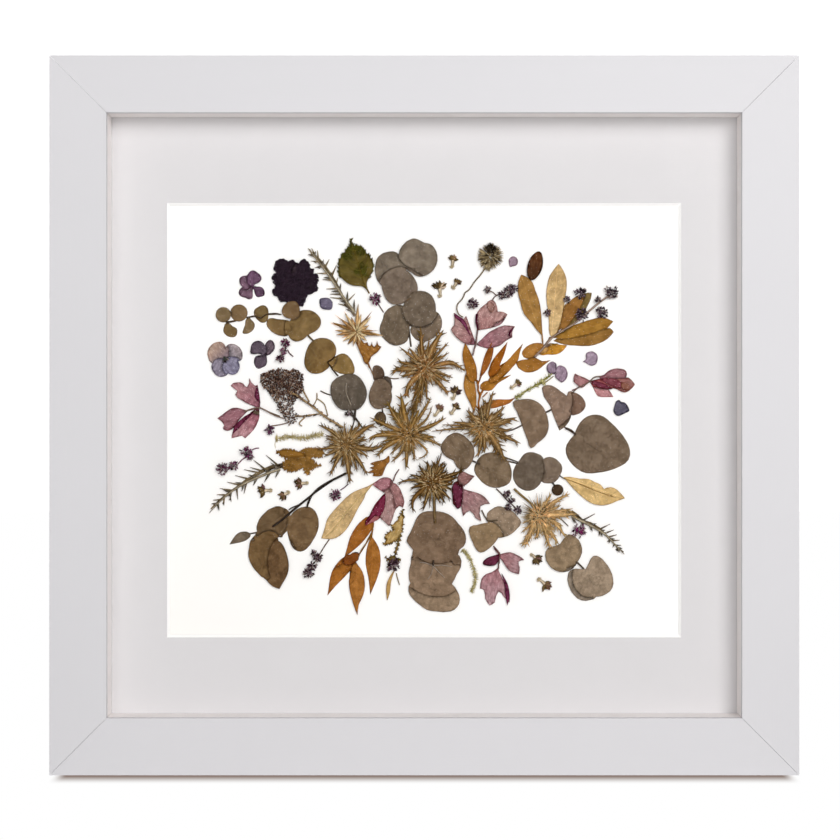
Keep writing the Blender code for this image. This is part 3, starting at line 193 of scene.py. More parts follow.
class Value:
    """A node's output, so that shader maths reads as an expression."""

    def __init__(self, look, socket):
        self.look = look
        self.socket = socket

    def __add__(self, other):
        return self.look.maths("ADD", self, other)

    def __sub__(self, other):
        return self.look.maths("SUBTRACT", self, other)

    def __rsub__(self, other):
        return self.look.maths("SUBTRACT", other, self)

    def __mul__(self, other):
        return self.look.maths("MULTIPLY", self, other)

    def size(self):
        return self.look.maths("ABSOLUTE", self)

    def sine(self):
        return self.look.maths("SINE", self)

    __radd__ = __add__
    __rmul__ = __mul__


class Look:
    """A Principled material and the nodes that feed it."""

    def __init__(self, name, roughness=0.8, specular=0.3, metallic=0.0):
        self.material = bpy.data.materials.new(name)
        self.material.use_nodes = True
        self.tree = self.material.node_tree
        self.shader = self.tree.nodes["Principled BSDF"]
        self.shader.inputs["Roughness"].default_value = roughness
        self.shader.inputs["Specular IOR Level"].default_value = specular
        self.shader.inputs["Metallic"].default_value = metallic

    def node(self, kind, settings=None, sockets=None, output=0):
        made = self.tree.nodes.new(kind)
        for name, value in (settings or {}).items():
            setattr(made, name, value)
        for name, value in (sockets or {}).items():
            self.plug(made.inputs[name], value)
        return Value(self, made.outputs[output])

    def plug(self, socket, value):
        if isinstance(value, Value):
            self.tree.links.new(value.socket, socket)
        elif socket.type == "RGBA" and len(value) == 3:
            socket.default_value = (*value, 1)
        else:
            socket.default_value = value

    def set(self, name, value):
        self.plug(self.shader.inputs[name], value)

    def maths(self, operation, *values):
        return self.node("ShaderNodeMath", {"operation": operation}, dict(enumerate(values)))

    def attribute(self, name, output="Vector"):
        return self.node("ShaderNodeAttribute", {"attribute_name": name}, output=output)

    def place(self):
        return self.node("ShaderNodeTexCoord", output="Object")

    def noise(self, scale, detail=2.0, vector=None):
        sockets = {"Vector": vector or self.place(), "Scale": scale, "Detail": detail}
        return self.node("ShaderNodeTexNoise", None, sockets)

    def parts(self, vector):
        split = self.tree.nodes.new("ShaderNodeSeparateXYZ")
        self.plug(split.inputs[0], vector)
        return [Value(self, output) for output in split.outputs]

    def patches(self, scale, low=0.4, high=0.6, detail=3.0, vector=None):
        """Noise with strong contrast, from 0 to 1."""
        return self.ramp(self.noise(scale, detail, vector), low, high)

    def deep(self, colour, gamma):
        """A darker, richer shade of a colour."""
        return self.node("ShaderNodeGamma", None, {0: colour, 1: gamma})

    def join(self, x, y, z):
        return self.node("ShaderNodeCombineXYZ", None, {0: x, 1: y, 2: z})

    def ramp(self, value, low, high):
        """0 below low, 1 above high, smooth between them."""
        sockets = {"Value": value, "From Min": low, "From Max": high}
        return self.node("ShaderNodeMapRange", {"interpolation_type": "SMOOTHSTEP"}, sockets)

    def mix(self, factor, first, second, blend="MIX"):
        settings = {"data_type": "RGBA", "blend_type": blend}
        return self.node("ShaderNodeMix", settings, {0: factor, 6: first, 7: second}, output=2)

    def dim(self, colour, value):
        settings = {"operation": "SCALE"}
        return self.node("ShaderNodeVectorMath", settings, {0: colour, "Scale": value})

    def show_instead(self, factor, other):
        """Another shader takes the Principled one's place by a factor."""
        shader = Value(self, self.shader.outputs[0])
        mixed = self.node("ShaderNodeMixShader", None, {0: factor, 1: shader, 2: other})
        self.plug(self.tree.nodes["Material Output"].inputs["Surface"], mixed)

    def bump(self, height, strength, distance):
        sockets = {"Height": height, "Strength": strength, "Distance": distance}
        self.set("Normal", self.node("ShaderNodeBump", None, sockets))


def colour_of(code):
    """The linear colour of six hexadecimal digits."""
    parts = [int(code[at:at + 2], 16) / 255 for at in (0, 2, 4)]
    return tuple(part / 12.92 if part < 0.04045 else ((part + 0.055) / 1.055) ** 2.4 for part in parts)


def lacquer_look(colour):
    """White lacquer whose brush marks run along each rail."""
    look = Look("white_lacquer", 0.5, 0.35)
    x, y, z = look.parts(look.place())
    along = look.noise(1.0, 3.0, look.join(x * 30, y * 900, z * 900))
    across = look.noise(1.0, 3.0, look.join(x * 900, y * 900, z * 30))
    corner = OUTER_HIGH.x - (MIDDLE_Z - OUTER_LOW.z)
    upright = look.ramp(x.size() - (z - MIDDLE_Z).size(), corner - 0.1 * MM, corner + 0.1 * MM)
    grain = along * (1 - upright) + across * upright
    mottled = look.noise(14.0, 3.0)
    look.set("Base Color", look.dim(colour, 0.98 + grain * 0.015 + mottled * 0.02))
    look.bump(grain, 0.1, 0.0003)
    return look.material


def board_look(name, colour, roughness, mottle, scale):
    """Smooth card or board, faintly mottled."""
    look = Look(name, roughness, 0.2)
    look.set("Base Color", look.dim(colour, 1 - mottle / 2 + look.noise(scale, 3.0) * mottle))
    look.bump(look.noise(2600.0, 2.0), 0.12, 0.0001)
    return look.material


def paper_look(colour):
    """Smooth paper, a little darker and yellower towards its lower left corner."""
    look = Look("mounting_paper", 0.9, 0.1)
    x, _, z = look.parts(look.place())
    toward_lower_left = look.ramp((x + z) * -1 + look.noise(9.0, 2.0) * 0.12, -0.05, 0.28)
    lower_left_colour = tuple(part * shade for part, shade in zip(colour, (0.965, 0.955, 0.925)))
    look.set("Base Color", look.mix(toward_lower_left, colour, lower_left_colour))
    look.bump(look.noise(1800.0, 3.0), 0.08, 0.0001)
    return look.material


def leaf_look(name="dried_leaf", midrib_strength=0.07, vein_strength=0.05):
    """A dried leaf: blotched and speckled, with a midrib and fine side veins, darker along its rim, with
    painted shade in thin lines along creases.
    """
    look = Look(name, PLANT_ROUGHNESS, 0.0)
    along, across, rim = look.parts(look.attribute("place"))
    tint = look.attribute("tint", "Color")
    blotches = look.patches(170.0, 0.38, 0.64, 4.0)
    patches = look.patches(480.0, 0.4, 0.62, 4.0)
    fine = look.noise(1900.0, 3.0)
    side = across.size()
    veins = look.ramp(((along - side * 6) * 2.3 + blotches * 1.2).sine(), 0.6, 1.0)
    midrib = 1 - look.ramp(side + patches * 0.02, 0.02, 0.07)
    edge = 1 - look.ramp(rim + patches * 0.25, 0.1, 0.9)
    # Painted shade: thin dark lines where shade would fall in creases that the flat sheet does not have.
    crease_shade = 1 - look.ramp((look.noise(60.0, 2.0) - 0.5).size(), 0.002, 0.014)
    crease_shade = crease_shade * look.patches(95.0, 0.48, 0.56, 1.0)
    flecks = look.patches(1500.0, 0.6, 0.68, 1.0) * look.patches(70.0, 0.52, 0.62, 1.0)
    shade = 0.72 + blotches * 0.24 + patches * 0.2 + fine * 0.24 + flecks * 0.14
    shade = shade + midrib * midrib_strength + veins * vein_strength - edge * 0.28 - crease_shade * 0.3
    rich = look.mix(edge * 0.6 + (1 - blotches) * 0.25, tint, look.deep(tint, 1.35))
    look.set("Base Color", look.dim(rich, shade))
    look.bump(blotches * 0.5 + fine * 0.3 + midrib * 0.6 + veins * 0.2, 0.5, 0.0005)
    return look.material


def veined_leaf_look():
    """A long leaf with a pale midrib and clear side veins."""
    return leaf_look("veined_leaf", 0.34, 0.09)


def petal_look():
    """A dried petal: streaked along its length, with richer, darker folds and rim."""
    look = Look("dried_petal", PLANT_ROUGHNESS, 0.0)
    along, across, rim = look.parts(look.attribute("place"))
    tint = look.attribute("tint", "Color")
    streaks = look.patches(1.0, 0.36, 0.64, 4.0, look.join(along * 0.14, across * 3.6, 0.0))
    fine = look.patches(1.0, 0.36, 0.66, 2.0, look.join(along * 0.3, across * 11, 3.0))
    blotches = look.patches(430.0, 0.38, 0.62, 3.0)
    edge = 1 - look.ramp(rim + blotches * 0.5, 0.25, 1.5)
    folds = look.ramp(edge * 0.65 + streaks * 0.45, 0.0, 1.0)
    faded = look.mix(fine * 0.5, tint, look.deep(tint, 0.75))
    rich = look.mix(folds, faded, look.deep(tint, 1.5))
    look.set("Base Color", look.dim(rich, 0.86 + blotches * 0.32 + fine * 0.2 - edge * 0.2))
    look.bump(streaks + fine * 0.6, 0.6, 0.0006)
    return look.material


def bract_look():
    """Stems, needles and bracts: streaked along their length, with a paler ridge."""
    look = Look("dried_bract", PLANT_ROUGHNESS, 0.0)
    along, across, _ = look.parts(look.attribute("place"))
    tint = look.attribute("tint", "Color")
    streaks = look.patches(1.0, 0.38, 0.62, 3.0, look.join(along * 0.3, across * 3.0, 0.0))
    blotches = look.patches(420.0, 0.38, 0.62)
    ridge = 1 - look.ramp(across.size(), 0.0, 0.5)
    rich = look.mix(streaks * 0.8, tint, look.deep(tint, 1.32))
    look.set("Base Color", look.dim(rich, 0.68 + blotches * 0.36 + ridge * 0.56))
    look.bump(streaks, 0.5, 0.0004)
    return look.material


def glass_look():
    """Clear glass that lets light through to what it covers."""
    look = Look("clear_glass", 0.0, 0.5)
    look.set("Base Color", (1.0, 1.0, 1.0))
    look.set("Transmission Weight", 1.0)
    look.set("IOR", GLASS_IOR)
    shadow = look.node("ShaderNodeLightPath", output="Is Shadow Ray")
    diffuse = look.node("ShaderNodeLightPath", output="Is Diffuse Ray")
    clear = look.node("ShaderNodeBsdfTransparent")
    look.show_instead(look.maths("MAXIMUM", shadow, diffuse), clear)
    return look.material


LOOKS = {}


def look_of(maker, *values):
    """Each look is made once."""
    if maker not in LOOKS:
        LOOKS[maker] = maker(*values)
    return LOOKS[maker]


# ---------------------------------------------------------------- pieces from the CAD nodes


def make_object(name, bm, look):
    """Puts a mesh in the scene with its look."""
    mesh = bpy.data.meshes.new(name)
    bm.to_mesh(mesh)
    bm.free()
    mesh.materials.append(look)
    made = bpy.data.objects.new(name, mesh)
    bpy.context.scene.collection.objects.link(made)
    return made


def finish_piece(name, bm, look, slot, nodes=(), smooth=True):
    """A piece that rides on the frame and replaces CAD nodes; a smooth one is a plant's thin sheet."""
    piece = make_object(name, bm, look)
    for polygon in piece.data.polygons:
        polygon.use_smooth = smooth
    if smooth:
        body = piece.modifiers.new("thickness", "SOLIDIFY")
        body.thickness = SHEET_THICKNESS
        body.offset = -1
    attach(piece, "root")
    if nodes:
        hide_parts(*nodes)
    return piece


def copy_of(nodes):
    """CAD nodes as one welded mesh, with their flat sides whole."""
    bm = bmesh.new()
    for node in nodes:
        bm.from_mesh(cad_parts[node].data)
    bmesh.ops.remove_doubles(bm, verts=bm.verts, dist=WELD)
    flat = [edge for edge in bm.edges if len(edge.link_faces) == 2 and edge.calc_face_angle() < FLAT_FOLD]
    bmesh.ops.dissolve_edges(bm, edges=flat, use_verts=False)
    return bm


def at(x, z, lift):
    """A place above the paper, from window millimetres."""
    return Vector((x * MM, PAPER_Y - lift * MM, z * MM + WINDOW_Z))


def away(point, reach, turn):
    """The place at a reach from a point, in the direction of a turn."""
    return (point[0] + reach * math.cos(turn), point[1] + reach * math.sin(turn))


def turn_to(foot, onward):
    """The turn of a line from one place to another."""
    return math.atan2(onward[1] - foot[1], onward[0] - foot[0])


def halfway(first, second):
    return ((first[0] + second[0]) / 2, (first[1] + second[1]) / 2)


def blend(first, second, part):
    """Numbers part of the way from the first ones to the second."""
    return tuple(a + (b - a) * part for a, b in zip(first, second))


def nearest(points, vert):
    """Millimetres from a vertex to the nearest of some points."""
    return math.sqrt(((points - (vert.co.x, vert.co.z)) ** 2).sum(1).min()) / MM


def curve_points(here, after, start, end, steps):
    """Points of a curve between two places, with its slopes at them."""
    for step in range(steps):
        t = step / steps
        yield (
            here * (2 * t**3 - 3 * t**2 + 1) + start * (t**3 - 2 * t**2 + t)
            + after * (3 * t**2 - 2 * t**3) + end * (t**3 - t**2)
        )


class Sheet:
    """Thin shapes gathered in one mesh. Each point has its tint and its place in its own shape."""

    def __init__(self):
        self.bm = bmesh.new()
        self.tint = self.bm.verts.layers.float_color.new("tint")
        self.place = self.bm.verts.layers.float_vector.new("place")

    def smooth_loop(self, outline):
        """Points of a closed curve through the outline; a third number marks a sharp point."""
        count = len(outline)
        loop = []
        for index in range(count):
            before, here, after, beyond = (outline[(index + step) % count] for step in (-1, 0, 1, 2))
            start = Vector((0, 0)) if len(here) > 2 else (Vector(after[:2]) - Vector(before[:2])) / 2
            end = Vector((0, 0)) if len(after) > 2 else (Vector(beyond[:2]) - Vector(here[:2])) / 2
            loop += curve_points(Vector(here[:2]), Vector(after[:2]), start, end, LOOP_STEPS)
        return loop

    def refine(self, geometry, grid):
        """Cuts the faces by two sets of parallel lines."""
        points = [item.co for item in geometry if isinstance(item, bmesh.types.BMVert)]
        for axis in (0, 2):
            low = min(point[axis] for point in points)
            high = max(point[axis] for point in points)
            normal = Vector((1, 0, 0)) if axis == 0 else Vector((0, 0, 1))
            for step in range(1, int((high - low) / grid) + 1):
                place = normal * (low + step * grid)
                geometry = bmesh.ops.bisect_plane(
                    self.bm, geom=geometry, dist=1e-6, plane_co=place, plane_no=normal,
                )["geom"]
        return geometry

    def buckle(self, verts, leaf, rim_points, lift, curl, seed, shadow_seam=()):
        """Gives each point of a leaf its tint, its place in the leaf and its lift; the tint is painted
        darker beside the seams where another leaf lies over it, as a painted shadow.
        """
        rim = np.array([(point.x, point.z) for point in rim_points])
        shadow_points = np.array([(point.x, point.z) for point in shadow_seam])
        for vert in verts:
            x = vert.co.x / MM
            z = (vert.co.z - WINDOW_Z) / MM
            _, along, across, length = self.place_in(leaf, x, z)
            near = nearest(rim, vert)
            tint = colour_of(leaf[5])
            if len(leaf) > 6:
                fade = max(0.0, min(1.0, along / length * 1.4 - 0.2))
                tint = blend(tint, colour_of(leaf[6]), fade)
            # Painted shadow: the tint darkens towards the edge of the leaf lying over this one.
            if len(shadow_points):
                reach = min(1.0, nearest(shadow_points, vert) / PAINTED_SHADE_REACH)
                dark = COVERED_PAINTED_SHADE + (1 - COVERED_PAINTED_SHADE) * reach
                tint = tuple(part * dark for part in tint)
            vert[self.tint] = (*tint, 1)
            vert[self.place] = (along, across, near)
            wave = noise.noise(Vector((x / 9, z / 9, seed)))
            ripple = noise.noise(Vector((x / 3, z / 3, seed + 50)))
            raised = lift + curl * (wave + 0.35 * ripple + across * across * 0.5)
            vert.co.y = PAPER_Y - max(raised, LOWEST_LIFT) * MM

    def place_in(self, leaf, x, z):
        """A point's squared reach in a leaf's oval, its place along and across, and the leaf's length."""
        x0, z0, x1, z1, width = leaf[:5]
        run = Vector((x1 - x0, z1 - z0))
        length = run.length
        run /= length
        along = (x - x0) * run.x + (z - z0) * run.y
        across = ((z - z0) * run.x - (x - x0) * run.y) / (width / 2)
        return (2 * along / length - 1) ** 2 + across ** 2, along, across, length

    def leaf_at(self, leaves, x, z):
        """The number of the first leaf, front to back, whose oval holds the point, or else the nearest."""
        reaches = [self.place_in(leaf, x, z)[0] for leaf in leaves]
        holding = [number for number, reach in enumerate(reaches) if reach <= OVAL_REACH]
        return holding[0] if holding else reaches.index(min(reaches))

    def from_node(self, node, leaves, lift, curl, seed):
        """The front of a CAD node, divided so that it can buckle, split where its leaves meet."""
        source = bmesh.new()
        source.from_mesh(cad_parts[node].data)
        bmesh.ops.remove_doubles(source, verts=source.verts, dist=WELD)
        behind = [face for face in source.faces if face.normal.y > FACING_FRONT]
        bmesh.ops.delete(source, geom=behind, context="FACES")
        mesh = bpy.data.meshes.new(node)
        source.to_mesh(mesh)
        source.free()
        first = len(self.bm.verts)
        first_face = len(self.bm.faces)
        self.bm.from_mesh(mesh)
        self.bm.verts.ensure_lookup_table()
        self.bm.faces.ensure_lookup_table()
        verts = self.bm.verts[first:]
        faces = self.bm.faces[first_face:]
        edges = list({edge for face in faces for edge in face.edges})
        geometry = self.refine(verts + edges + faces, bpy.context.scene.plant_settings.grid)
        faces = [item for item in geometry if isinstance(item, bmesh.types.BMFace)]
        edges = {edge for face in faces for edge in face.edges}
        rim = [edge.verts[0].co.copy() for edge in edges if edge.is_boundary]
        self.split_leaves(faces, leaves)
        verts = {vert for face in faces for vert in face.verts}
        self.buckle_faces(faces, verts, leaves, rim, lift, curl, seed)

    def split_leaves(self, faces, leaves):
        """Cuts the faces apart where two leaves meet, and notes each leaf's rim and the seams where the
        leaf behind gets a painted shadow.
        """
        if len(leaves) < 2:
            return
        owner = {}
        for face in faces:
            middle = face.calc_center_median()
            owner[face] = self.leaf_at(leaves, middle.x / MM, (middle.z - WINDOW_Z) / MM)
        seams = {}
        self.rims = {number: [] for number in range(len(leaves))}
        self.painted_shadow_seams = {number: [] for number in range(len(leaves))}
        for face in faces:
            for edge in face.edges:
                owners = {owner[side] for side in edge.link_faces}
                if edge.is_boundary:
                    self.rims[owner[face]] += [edge.verts[0].co.copy()]
                elif len(owners) > 1:
                    seams[edge] = min(owners)
                    self.painted_shadow_seams[max(owners)].append(edge.verts[0].co.copy())
        for edge, number in seams.items():
            for vert in edge.verts:
                if not vert.is_boundary:
                    self.snap_to_oval(vert, leaves[number])
                self.rims[number].append(vert.co.copy())
        if seams:
            bmesh.ops.split_edges(self.bm, edges=list(seams))
        self.owner = owner

    def snap_to_oval(self, vert, leaf):
        """Moves a point of a seam onto the oval of the leaf in front."""
        x0, z0, x1, z1, width = leaf[:5]
        middle = Vector(((x0 + x1) / 2 * MM, (z0 + z1) / 2 * MM + WINDOW_Z))
        run = Vector((x1 - x0, z1 - z0)).normalized()
        out = Vector((vert.co.x, vert.co.z)) - middle
        half = math.dist((x0, z0), (x1, z1)) / 2 * MM
        far = math.hypot(out.dot(run) / half, out.cross(run) / (width / 2 * MM))
        scale = math.sqrt(OVAL_REACH) / far
        if SNAP_LIMITS[0] < scale < SNAP_LIMITS[1]:
            vert.co.x = middle.x + out.x * scale
            vert.co.z = middle.y + out.y * scale

    def buckle_faces(self, faces, verts, leaves, rim, lift, curl, seed):
        """Buckles each leaf by itself, the ones behind lower and with painted shadow beside the leaf in
        front.
        """
        if len(leaves) < 2:
            self.buckle(verts, leaves[0], rim, lift, curl, seed)
            return
        groups = {}
        for face in faces:
            groups.setdefault(self.owner[face], set()).update(face.verts)
        for number, members in groups.items():
            shifted = lift - number * LEAF_STEP
            self.buckle(members, leaves[number], self.rims[number] or rim, shifted, curl,
                        seed + number * 3.7, self.painted_shadow_seams[number])

    def patch(self, outline, leaf, lift, curl, seed):
        """One flat shape from its outline."""
        loop = self.smooth_loop(outline)
        verts = [self.bm.verts.new(at(x, z, lift)) for x, z in loop]
        edges = [self.bm.edges.new(pair) for pair in zip(verts, verts[1:] + verts[:1])]
        filled = bmesh.ops.triangle_fill(self.bm, use_beauty=True, edges=edges, normal=(0, -1, 0))
        faces = [item for item in filled["geom"] if isinstance(item, bmesh.types.BMFace)]
        rim = [vert.co.copy() for vert in verts]
        edges = list({edge for face in faces for edge in face.edges})
        geometry = self.refine(verts + edges + faces, PATCH_GRID)
        members = {item for item in geometry if isinstance(item, bmesh.types.BMVert)}
        self.buckle(members, leaf, rim, lift, curl, seed)

    def blade(self, points, widths, tint, lift, rise=0.0, ridge=0.35, tip=None):
        """A ridged strip along the points, such as a stem, a needle or a bract."""
        first = colour_of(tint)
        last_colour = colour_of(tip or tint)
        rows = []
        run = 0.0
        last = len(points) - 1
        for step, (x, z) in enumerate(points):
            before = points[max(step - 1, 0)]
            after = points[min(step + 1, last)]
            heading = Vector((after[0] - before[0], after[1] - before[1])).normalized()
            if step:
                run += math.dist(points[step - 1], (x, z))
            part = step / last
            half = self.width_at(widths, part) / 2
            level = lift + rise * part
            shade = blend(first, last_colour, part)
            row = []
            for side, up in ((-1, 0), (0, ridge * half), (1, 0)):
                place = at(x - heading.y * half * side, z + heading.x * half * side, level + up)
                vert = self.bm.verts.new(place)
                vert[self.tint] = (*shade, 1)
                vert[self.place] = (run, side, half)
                row.append(vert)
            rows.append(row)
        for row, following in zip(rows, rows[1:]):
            for side in (0, 1):
                self.bm.faces.new((row[side], following[side], following[side + 1], row[side + 1]))

    def width_at(self, widths, part):
        """The width part of the way along, between the widths given."""
        spot = part * (len(widths) - 1)
        index = min(int(spot), len(widths) - 2)
        return widths[index] + (widths[index + 1] - widths[index]) * (spot - index)


def fringe(sheet, node, pitch, length, widths, tint, lift, lean=(0, 0), low=-1000):
    """Small teeth or scallops round the rim of a CAD node."""
    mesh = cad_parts[node].data
    sides = {}
    for polygon in mesh.polygons:
        if polygon.normal.y < FACING_FRONT:
            for pair in polygon.edge_keys:
                sides.setdefault(pair, []).append(polygon.center)
    left = 0.0
    for pair, centers in sides.items():
        if len(centers) > 1:
            continue
        inner, start, end = (
            Vector((place.x / MM, (place.z - WINDOW_Z) / MM))
            for place in (centers[0], mesh.vertices[pair[0]].co, mesh.vertices[pair[1]].co)
        )
        run = (end - start).normalized()
        out = Vector((run.y, -run.x))
        if out.dot(inner - start) > 0:
            out = -out
        out = (out + Vector(lean)).normalized()
        while left < (end - start).length:
            spot = start + run * left
            left += pitch
            if spot.y > low:
                path = [tuple(spot + out * far) for far in (-0.6, length * 0.4, length)]
                sheet.blade(path, widths, tint, lift, 0.0, 0.1)
        left -= (end - start).length


def points_on(node, count, draws):
    """Random places on the front of a CAD node, in window millimetres."""
    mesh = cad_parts[node].data
    fronts = [polygon for polygon in mesh.polygons if polygon.normal.y < FACING_FRONT]
    areas = [polygon.area for polygon in fronts]
    for polygon in draws.choices(fronts, areas, k=count):
        corners = [mesh.vertices[index].co for index in polygon.vertices][:3]
        first, second = sorted((draws.random(), draws.random()))
        spot = corners[0] * first + corners[1] * (second - first) + corners[2] * (1 - second)
        yield spot.x / MM, (spot.z - WINDOW_Z) / MM


def smooth_path(points, steps=4):
    """Points of an open curve through the given ones."""
    path = []
    last = len(points) - 1
    for index in range(last):
        before = Vector(points[max(index - 1, 0)])
        here = Vector(points[index])
        after = Vector(points[index + 1])
        beyond = Vector(points[min(index + 2, last)])
        path += curve_points(here, after, (after - before) / 2, (beyond - here) / 2, steps)
    path.append(Vector(points[last]))
    return [tuple(point) for point in path]


# ---------------------------------------------------------------- leaves, front to back

